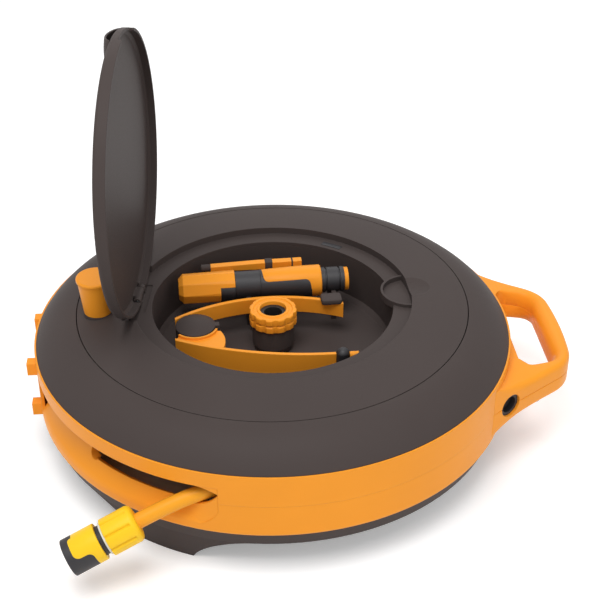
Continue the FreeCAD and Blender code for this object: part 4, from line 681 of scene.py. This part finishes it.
def wall_sheet(name, columns):
    """A closed sheet of even thickness behind a face given by columns of places."""
    columns = list(columns)
    rows = len(columns[0])
    places, faces = [], []
    for depth in (0.0, SHEET_WALL):
        for column in columns:
            for azimuth, radius, height in column:
                turn = math.radians(azimuth)
                out = radius - depth
                places.append((out * math.cos(turn), out * math.sin(turn), height))
    back = len(columns) * rows
    for at in range(len(columns) - 1):
        for row in range(rows - 1):
            low = at * rows + row
            face = (low, low + rows, low + rows + 1, low + 1)
            faces += [face, tuple(back + spot for spot in reversed(face))]
    rim = [at * rows for at in range(len(columns))]
    rim += [rim[-1] + row for row in range(1, rows)]
    rim += [at * rows + rows - 1 for at in reversed(range(len(columns) - 1))]
    rim += list(range(rows - 2, 0, -1))
    for spot, onward in zip(rim, rim[1:] + rim[:1]):
        faces.append((onward, spot, back + spot, back + onward))
    return skinned(name, places, faces)


class HOSEREEL_OT_gutter_end(bpy.types.Operator):
    """Runs the gutter out into the casing's wall where the hose leaves, and draws its opening to a point"""

    bl_idname = "hosereel.gutter_end"
    bl_label = "End of the gutter"

    def execute(self, context):
        for name, columns in (("gutter_ramp", ramp_columns()), ("gutter_brow", brow_columns())):
            finish_piece(wall_sheet(name, columns), AXIS, "casing", "orange_plastic", edge=0)
        return {"FINISHED"}


# Hose

# Middle line of the free end, in millimetres from the drum's axis, out to the connector.
FREE_END = [
    (88, -154, 81),
    (48, -173, 82),
    (4, -184.5, 82),
    (-40, -190.5, 81),
    (-84, -197.2, 74.5),
    (-121, -207.5, 60.5),
]


def hose_line(name, points):
    """A hose along the smooth line of these points."""
    curve = bpy.data.curves.new(name, "CURVE")
    curve.dimensions = "3D"
    curve.bevel_depth = sizes().hose_diameter / 2
    curve.bevel_resolution = 5
    curve.resolution_u = 8
    curve.use_fill_caps = True
    line = curve.splines.new("NURBS")
    line.points.add(len(points) - 1)
    for spot, place in zip(line.points, points):
        spot.co = (*place, 1.0)
    line.order_u = 3
    line.use_endpoint_u = True
    piece = bpy.data.objects.new(name, curve)
    bpy.context.scene.collection.objects.link(piece)
    return piece


class HOSEREEL_OT_free_end(bpy.types.Operator):
    """Lays the free end of the hose from the drum out through the slot to the connector"""

    bl_idname = "hosereel.free_end"
    bl_label = "Free end of the hose"

    def execute(self, context):
        points = [axis_point(*spot) for spot in FREE_END]
        piece = hose_line("hose_free_end", points)
        dress(piece, "casing", "hose")
        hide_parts("hose_end")
        return {"FINISHED"}


# Connector on the end of the hose, along its own axis from the nut

SLEEVE_START = 32.4
SLEEVE_END = 61.0
SLEEVE_RADIUS = 15.6
SLEEVE_BORE = 10.6
NECK_BORE = 12.4
NECK_END = 38.8
# Angle about the connector's axis that the inlay is drawn to.
SLEEVE_FACING = 217.5
# Dark inlay, seen from the front: distance from the open end, and height.
INLAY = [
    (-2, 18),
    (9.7, 18),
    (9.7, 13.8),
    (6.3, 13.8, 2.2),
    (6.3, -3, 5),
    (20.6, -3.4, 4.5),
    (21.4, -18),
    (-2, -18),
]


def connector_frame():
    """The connector's place on the last run of the hose."""
    start, end = Vector(FREE_END[-2]), Vector(FREE_END[-1])
    run = end - start
    azimuth = math.degrees(math.atan2(run.y, run.x))
    dip = math.degrees(math.asin(-run.z / run.length))
    return AXIS @ shift(*end) @ turn_about("Z", azimuth) @ turn_about("Y", 90 + dip)


class HOSEREEL_OT_sleeve(bpy.types.Operator):
    """Turns the connector's front sleeve and lets the dark inlay into it"""

    bl_idname = "hosereel.sleeve"
    bl_label = "Sleeve of the connector"

    def execute(self, context):
        shell = spun("sleeve_shell", [
            (NECK_BORE, SLEEVE_START),
            (SLEEVE_RADIUS, SLEEVE_START, 0.8),
            (SLEEVE_RADIUS, SLEEVE_END, 0.9),
            (SLEEVE_BORE, SLEEVE_END),
            (SLEEVE_BORE, NECK_END),
            (NECK_BORE, NECK_END),
        ])
        corners = [(SLEEVE_END - corner[0], *corner[1:]) for corner in INLAY]
        cutter = prism("cutter", corners, CUTTER_DEPTH, side_on(SLEEVE_FACING))
        inlay = part_off(shell, cutter, "sleeve_inlay")
        place = connector_frame()
        finish_piece(shell, place, "sleeve", "yellow_plastic", "release_sleeve")
        finish_piece(inlay, place, "sleeve", "black_soft_plastic", "sleeve_grip", edge=0)
        return {"FINISHED"}


NUT_RADIUS = 15.8
NUT_LENGTH = 27.0
NUT_GROOVES = 8
# A groove's section: distance from the axis, and half its width there.
NUT_GROOVE = [(13.7, 0), (17.7, 3.2), (17.7, -3.2)]
NUT_GROOVE_START = 5.0


class HOSEREEL_OT_nut(bpy.types.Operator):
    """Turns the nut on the hose and cuts its finger grooves"""

    bl_idname = "hosereel.nut"
    bl_label = "Nut of the connector"

    def execute(self, context):
        nut = spun("nut_shell", [
            (0, 0),
            (NUT_RADIUS, 0, 4.5),
            (NUT_RADIUS, NUT_LENGTH, 0.7),
            (0, NUT_LENGTH),
        ], FINE_STEPS)
        for groove in range(NUT_GROOVES):
            turn = turn_about("Z", 360 * groove / NUT_GROOVES)
            place = turn @ shift(0, 0, NUT_GROOVE_START + NUT_LENGTH / 2)
            carve(nut, prism("cutter", NUT_GROOVE, NUT_LENGTH, place))
        finish_piece(nut, connector_frame(), "casing", "yellow_plastic", "hose_nut", edge=0.5)
        return {"FINISHED"}


# Tap connector in the middle of the tray

TAP_RADIUS = 21.8
TAP_LOBES = 12
TAP_SCALLOP_PLACE = 24.7
TAP_SCALLOP_RADIUS = 4.3
TAP_SCALLOP_HEIGHT = 114.0
TAP_SCALLOP_DEPTH = 40.0
# Half of the ring's section: distance from the axis, height, and rounding.
TAP_SECTION = [
    (12.2, 107.5),
    (TAP_RADIUS, 107.5, 0.8),
    (TAP_RADIUS, 113.1, 0.6),
    (20.2, 114.5),
    (TAP_RADIUS, 115.9, 0.6),
    (TAP_RADIUS, 121.5, 1.5),
    (18.0, 121.5),
    (17.4, 120.4),
    (14.9, 120.4),
    (14.5, 121.3),
    (12.2, 121.3),
]


class HOSEREEL_OT_tap_ring(bpy.types.Operator):
    """Turns the tap connector's ring and scallops its rim"""

    bl_idname = "hosereel.tap_ring"
    bl_label = "Ring of the tap connector"

    def execute(self, context):
        ring = spun("tap_ring_shell", TAP_SECTION, FINE_STEPS)
        for lobe in range(TAP_LOBES):
            place = turn_about("Z", 360 * lobe / TAP_LOBES) @ shift(TAP_SCALLOP_PLACE, 0, TAP_SCALLOP_HEIGHT)
            carve(ring, rod(TAP_SCALLOP_RADIUS, TAP_SCALLOP_DEPTH, place, sides=40))
        finish_piece(ring, TRAY, "drum", "orange_plastic", "tap_ring", edge=0.4)
        return {"FINISHED"}


# Small dark clips: left, right, near, far, bottom and top in the tray, and rounding of the corners

CLIPS = {
    "arm_clip": (46.5, 66.0, 9.6, 24.0, 113.8, 119.2, 3.0),
    "spike_clip": (0.4, 7.6, 74.7, 83.3, 116.2, 125.4, 0.9),
    "spike_band": (26.0, 27.6, 75.2, 82.8, 117.2, 124.8, 0.4),
}
# The upper and lower edges are broken by this share of the corners' rounding, up to the most.
CLIP_EDGE = 0.6
CLIP_EDGE_MOST = 1.6


class HOSEREEL_OT_clips(bpy.types.Operator):
    """Shapes the dark clips that hold the sprinkler's arm and the spike"""

    bl_idname = "hosereel.clips"
    bl_label = "Clips in the tray"

    def execute(self, context):
        for name, (left, right, near, far, bottom, top, bend) in CLIPS.items():
            corners = [(left, near, bend), (right, near, bend), (right, far, bend), (left, far, bend)]
            clip = prism(name, corners, top - bottom, shift(0, 0, (top + bottom) / 2))
            nodes = ["sprinkler_clip"] if name == "arm_clip" else []
            edge = min(bend * CLIP_EDGE, CLIP_EDGE_MOST)
            finish_piece(clip, TRAY, "drum", "charcoal_plastic", *nodes, edge=edge)
        return {"FINISHED"}


# Spray nozzle, along its own axis from the spray face

NOZZLE_PLACE = (-84, 52, 116)
HEAD_END = 53.0
HEAD_RADIUS = 15.0
HEAD_TAPER = 0.6
HEAD_FACETS = 8
# Half the turn that each facet's rounded corner takes up, in degrees.
FACET_HALF = 7.0
FRONT_EDGE = 4.2
# Spray opening in front and the socket behind, which turns on the body: distance from the axis, and place.
SPRAY_OPENING = [(0, -2), (9, -2), (9, 2.5), (7, 2.5), (7, 20), (0, 20)]
HEAD_SOCKET = [(0, 32.7), (9.1, 32.7), (9.1, 55), (0, 55)]
BODY_SECTION = [(0, 77), (13.6, 77), (15, 112, 120), (15, 135, 1.6), (0, 135)]
# Angle about the nozzle's axis, leaning back from straight up, that the dark parts are drawn to.
GRIP_FACING = 147.3
# Dark parts: distance along the nozzle, and height.
HEAD_INSERT = [(39.3, -2), (56, -2), (56, -20), (39.3, -20)]
BODY_GRIP = [(70, 20), (78, 20), (80.5, 1, 5), (123, 1.5, 5), (127, -20), (70, -20)]


def head_outline():
    """Corners of the head's back end, two for each facet's rounded corner."""
    turns = [math.radians(360 / HEAD_FACETS * corner + side * FACET_HALF)
             for corner in range(HEAD_FACETS) for side in (-1, 1)]
    return [(HEAD_RADIUS * math.cos(turn), HEAD_RADIUS * math.sin(turn)) for turn in turns]


def taper_head(head):
    """Draws the front end in, where each pair of corners runs together into one."""
    step = 2 * math.pi / HEAD_FACETS
    reach = (HEAD_RADIUS - HEAD_TAPER) * MM
    for spot in head.data.vertices:
        if spot.co.z < HEAD_END / 2 * MM:
            turn = round(math.atan2(spot.co.y, spot.co.x) / step) * step
            spot.co.x, spot.co.y = reach * math.cos(turn), reach * math.sin(turn)
    open_mesh(head)
    close_mesh()


def bevel_front(head):
    """Bevels the edges round the spray face."""
    open_mesh(head)
    bpy.ops.mesh.select_all(action="DESELECT")
    bpy.ops.object.mode_set(mode="OBJECT")
    for edge in head.data.edges:
        edge.select = all(head.data.vertices[at].co.z < MM for at in edge.vertices)
    bpy.ops.object.mode_set(mode="EDIT")
    bpy.ops.mesh.select_mode(type="EDGE")
    bpy.ops.mesh.bevel(offset=FRONT_EDGE * MM, segments=1, affect="EDGES")
    close_mesh()


class HOSEREEL_OT_nozzle(bpy.types.Operator):
    """Shapes the nozzle's faceted head and its swelling body, with their soft grips"""

    bl_idname = "hosereel.nozzle"
    bl_label = "Spray nozzle"

    def execute(self, context):
        head = prism("nozzle_head_shell", head_outline(), HEAD_END, shift(0, 0, HEAD_END / 2))
        taper_head(head)
        bevel_front(head)
        for section in (SPRAY_OPENING, HEAD_SOCKET):
            carve(head, spun("cutter", section))
        facing = side_on(GRIP_FACING)
        insert = part_off(head, prism("cutter", HEAD_INSERT, CUTTER_DEPTH, facing), "nozzle_head_insert")
        body = spun("nozzle_body_shell", BODY_SECTION)
        grip = part_off(body, prism("cutter", BODY_GRIP, CUTTER_DEPTH, facing), "nozzle_body_grip")
        place = TRAY @ shift(*NOZZLE_PLACE) @ turn_about("Y", 90)
        finish_piece(head, place, "spray_head", "orange_plastic", "nozzle_head", edge=0.7, smooth=9)
        finish_piece(insert, place, "spray_head", "black_soft_plastic")
        finish_piece(body, place, "drum", "orange_plastic", "nozzle_body")
        finish_piece(grip, place, "drum", "black_soft_plastic", "nozzle_grip")
        return {"FINISHED"}


# Lid and its seat, drawn with the lid shut

# The disc and its lid are turned a little about the drum's axis.
TOP = AXIS @ turn_about("Z", -7.5)
LID_FACE = 139.2
# Where the open lid's swing takes the drum's axis at floor level: outwards, and up.
LID_OUT = 10.2
LID_UP = 254.2
HOOD_AZIMUTH = 10.5
HOOD_PLACE = 109.0
HOOD_MOUTH = 120.6
HOOD_DEPTH = 27.0
HOOD_HALF = 31.0
HOOD_RISE = 8.6
HOOD_WALL = 1.7
HOOD_SUNK = 0.5
SHELF_HEIGHT = 128.0
STRIP_INNER = 113.5
STRIP_OUTER = 119.5
STRIP_FROM = 59.5
STRIP_TO = 69.5
STRIP_STEPS = 12
STRIP_DEPTH = 0.5
STRIP_LIFT = 0.2


def lid_frame():
    """Swings what is drawn on the shut lid up with the open lid."""
    opened = Matrix(((0, 0, -1, LID_OUT * MM), (0, 1, 0, 0), (1, 0, 0, LID_UP * MM), (0, 0, 0, 1)))
    return TOP @ opened


class HOSEREEL_OT_lid_hood(bpy.types.Operator):
    """Raises the finger hood over the lid's free edge"""

    bl_idname = "hosereel.lid_hood"
    bl_label = "Hood of the lid"

    def execute(self, context):
        hood = add_shape(bpy.ops.mesh.primitive_uv_sphere_add, "lid_hood",
                         segments=64, ring_count=32, radius=1)
        hood.data.transform(Matrix.Diagonal((HOOD_DEPTH * MM, HOOD_HALF * MM, HOOD_RISE * MM, 1)))
        open_mesh(hood)
        bpy.ops.mesh.bisect(plane_co=(0, 0, 0), plane_no=(0, 0, 1), clear_inner=True)
        bpy.ops.mesh.select_all(action="SELECT")
        mouth = (HOOD_MOUTH - HOOD_PLACE) * MM
        bpy.ops.mesh.bisect(plane_co=(mouth, 0, 0), plane_no=(1, 0, 0), clear_outer=True)
        close_mesh()
        apply_modifier(hood, "SOLIDIFY", thickness=HOOD_WALL * MM, offset=-1)
        place = lid_frame() @ turn_about("Z", HOOD_AZIMUTH) @ shift(HOOD_PLACE, 0, LID_FACE - HOOD_SUNK)
        finish_piece(hood, place, "lid", "charcoal_plastic", edge=0.4)
        return {"FINISHED"}


class HOSEREEL_OT_latch_strip(bpy.types.Operator):
    """Lays the dark latch strip on the shelf that the lid shuts on"""

    bl_idname = "hosereel.latch_strip"
    bl_label = "Latch strip"

    def execute(self, context):
        def arc(radius):
            turns = [math.radians(STRIP_FROM + (STRIP_TO - STRIP_FROM) * step / STRIP_STEPS)
                     for step in range(STRIP_STEPS + 1)]
            return [(radius * math.cos(turn), radius * math.sin(turn)) for turn in turns]

        outline = arc(STRIP_OUTER) + arc(STRIP_INNER)[::-1]
        strip = prism("latch_strip", outline, STRIP_DEPTH, shift(0, 0, SHELF_HEIGHT + STRIP_LIFT))
        finish_piece(strip, TOP, "drum", "black_soft_plastic", edge=0.15)
        return {"FINISHED"}


# Marks on each turn of the winding
WINDING_MARKS = 16


class HOSEREEL_OT_winding(bpy.types.Operator):
    """Winds the hose on the drum, layer over layer"""

    bl_idname = "hosereel.winding"
    bl_label = "Wound hose"

    def execute(self, context):
        s = sizes()
        # A smooth line along marks round a circle runs inside them by this share.
        spread = 1 / math.cos(math.pi / WINDING_MARKS)
        points = []
        for layer in range(s.layers):
            radius = s.outer_radius - (s.layers - 1 - layer) * s.layer_step
            for mark in range(s.layer_turns * WINDING_MARKS):
                climb = s.turn_pitch * mark / WINDING_MARKS
                if layer % 2:
                    climb = s.turn_pitch * s.layer_turns - climb
                angle = 2 * math.pi * mark / WINDING_MARKS
                points.append(Vector((AXIS_X * MM + radius * spread * math.cos(angle),
                                      radius * spread * math.sin(angle), s.winding_foot + climb)))
        piece = hose_line("hose_winding", points)
        piece.data.resolution_u = 4
        piece.data.bevel_resolution = 3
        dress(piece, "drum", "hose")
        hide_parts("hose_outer_turns", "hose_inner_layers")
        return {"FINISHED"}


class HOSEREEL_OT_finishes(bpy.types.Operator):
    """Gives each moulded part the material of its slot"""

    bl_idname = "hosereel.finishes"
    bl_label = "Finishes of the mouldings"

    def execute(self, context):
        for part in frame["record"]["subparts"]:
            coat(frame["nodes"][part["node"]], part["material_slot"])
        return {"FINISHED"}


# Studio

CAMERA_TARGET = (-0.37, -1.94, 130.39)
CAMERA_SIDE = (-0.0785, -0.997)
CAMERA_RISE = 32.70
CAMERA_DISTANCE = 1136.45
CAMERA_LENS = 75.0
SENSOR_WIDTH = 36.0
# Name, place and width in metres, and power in watts.
LAMPS = (
    ("key", (-0.3, -0.7, 2.1), 1.2, 29.0),
    ("fill", (1.2, -1.2, 0.9), 1.2, 3.0),
    ("back", (0.2, 1.4, 1.5), 1.2, 5.0),
)
LAMP_TARGET = (0, 0, 0.1)
SKY_LIGHT = 0.5
FLOOR_SIZE = 8.0
# The floor glows this much where it is seen, so that it runs into the white background.
FLOOR_GLOW = 0.26


def background_rays(tree):
    """1 for rays that see the background, straight or in gloss and glass, and 0 for those that give light."""
    path = node(tree, "ShaderNodeLightPath").outputs
    mirrored = node(tree, "ShaderNodeMath", {0: path["Is Glossy Ray"], 1: path["Is Transmission Ray"]},
                    operation="MAXIMUM")
    return node(tree, "ShaderNodeMath", {0: path["Is Camera Ray"], 1: mirrored.outputs["Value"]},
                operation="MAXIMUM").outputs["Value"]


def aimed(name, data, place, target):
    """A camera or a lamp at a place, turned to its target."""
    holder = bpy.data.objects.new(name, data)
    holder.location = place
    holder.rotation_mode = "QUATERNION"
    holder.rotation_quaternion = (Vector(target) - Vector(place)).to_track_quat("-Z", "Y")
    bpy.context.scene.collection.objects.link(holder)
    return holder


def add_camera():
    """A camera in front of the reel and above it."""
    target = Vector(CAMERA_TARGET) * MM
    rise = math.radians(CAMERA_RISE)
    back = Vector((*CAMERA_SIDE, 0)).normalized() * math.cos(rise)
    back.z = math.sin(rise)
    data = bpy.data.cameras.new("camera")
    data.lens = CAMERA_LENS
    data.sensor_width = SENSOR_WIDTH
    return aimed("camera", data, target + back * CAMERA_DISTANCE * MM, target)


def add_floor():
    """A plain pale floor."""
    floor = add_shape(bpy.ops.mesh.primitive_plane_add, "floor", size=FLOOR_SIZE, location=(0, 0, 0))
    material = bpy.data.materials.new("studio_floor")
    material.use_nodes = True
    tree = material.node_tree
    shader = tree.nodes["Principled BSDF"]
    shader.inputs["Base Color"].default_value = opaque(colours().floor)
    shader.inputs["Roughness"].default_value = 0.9
    shader.inputs["Specular IOR Level"].default_value = 0.1
    glow = node(tree, "ShaderNodeMath", {0: background_rays(tree), 1: FLOOR_GLOW}, operation="MULTIPLY")
    shader.inputs["Emission Color"].default_value = (1, 1, 1, 1)
    tree.links.new(glow.outputs["Value"], shader.inputs["Emission Strength"])
    floor.data.materials.append(material)
    return floor


def add_lamps():
    """Broad soft lamps in front, beside and behind."""
    for name, place, size, power in LAMPS:
        lamp = bpy.data.lights.new(name, "AREA")
        lamp.size = size
        lamp.energy = power
        aimed(name, lamp, place, LAMP_TARGET)


def white_world():
    """A world that gives soft light and is white where it is seen."""
    world = bpy.data.worlds.new("studio")
    world.use_nodes = True
    tree = world.node_tree
    tree.nodes.clear()
    strength = node(tree, "ShaderNodeMapRange", {
        "Value": background_rays(tree), "To Min": SKY_LIGHT, "To Max": 1.0})
    sky = node(tree, "ShaderNodeBackground", {
        "Color": (1, 1, 1, 1), "Strength": strength.outputs["Result"]})
    out = node(tree, "ShaderNodeOutputWorld")
    tree.links.new(sky.outputs["Background"], out.inputs["Surface"])
    return world


class HOSEREEL_OT_studio(bpy.types.Operator):
    """Sets up the camera, the floor, the lamps and the world"""

    bl_idname = "hosereel.studio"
    bl_label = "Studio"

    def execute(self, context):
        context.scene.camera = add_camera()
        add_floor()
        add_lamps()
        context.scene.world = white_world()
        context.scene.view_settings.view_transform = "Standard"
        return {"FINISHED"}


class HOSEREEL_PT_panel(bpy.types.Panel):
    """Sizes, colours and steps of the hose reel"""

    bl_idname = "HOSEREEL_PT_panel"
    bl_label = "Hose reel"
    bl_space_type = "VIEW_3D"
    bl_region_type = "UI"
    bl_category = "Hose reel"

    def draw(self, context):
        for group in (context.scene.hose_reel_sizes, context.scene.hose_reel_colours):
            box = self.layout.box()
            for name in group.__annotations__:
                box.prop(group, name)
        for step in STEPS:
            self.layout.operator(step.bl_idname)


STEPS = (
    HOSEREEL_OT_studio,
    HOSEREEL_OT_handle,
    HOSEREEL_OT_gutter_end,
    HOSEREEL_OT_sleeve,
    HOSEREEL_OT_nut,
    HOSEREEL_OT_tap_ring,
    HOSEREEL_OT_clips,
    HOSEREEL_OT_nozzle,
    HOSEREEL_OT_lid_hood,
    HOSEREEL_OT_latch_strip,
    HOSEREEL_OT_free_end,
    HOSEREEL_OT_winding,
    HOSEREEL_OT_finishes,
)
CLASSES = (HoseReelSizes, HoseReelColours, *STEPS, HOSEREEL_PT_panel)


def register():
    for made in CLASSES:
        bpy.utils.register_class(made)
    bpy.types.Scene.hose_reel_sizes = PointerProperty(type=HoseReelSizes)
    bpy.types.Scene.hose_reel_colours = PointerProperty(type=HoseReelColours)


def unregister():
    del bpy.types.Scene.hose_reel_colours
    del bpy.types.Scene.hose_reel_sizes
    for made in reversed(CLASSES):
        bpy.utils.unregister_class(made)


def main():
    register()
    bpy.ops.hosereel.studio()
    bpy.ops.hosereel.handle()
    bpy.ops.hosereel.gutter_end()
    bpy.ops.hosereel.sleeve()
    bpy.ops.hosereel.nut()
    bpy.ops.hosereel.tap_ring()
    bpy.ops.hosereel.clips()
    bpy.ops.hosereel.nozzle()
    bpy.ops.hosereel.lid_hood()
    bpy.ops.hosereel.latch_strip()
    bpy.ops.hosereel.free_end()
    bpy.ops.hosereel.winding()
    bpy.ops.hosereel.finishes()
    bpy.context.view_layer.update()


if __name__ == "__main__":
    main()
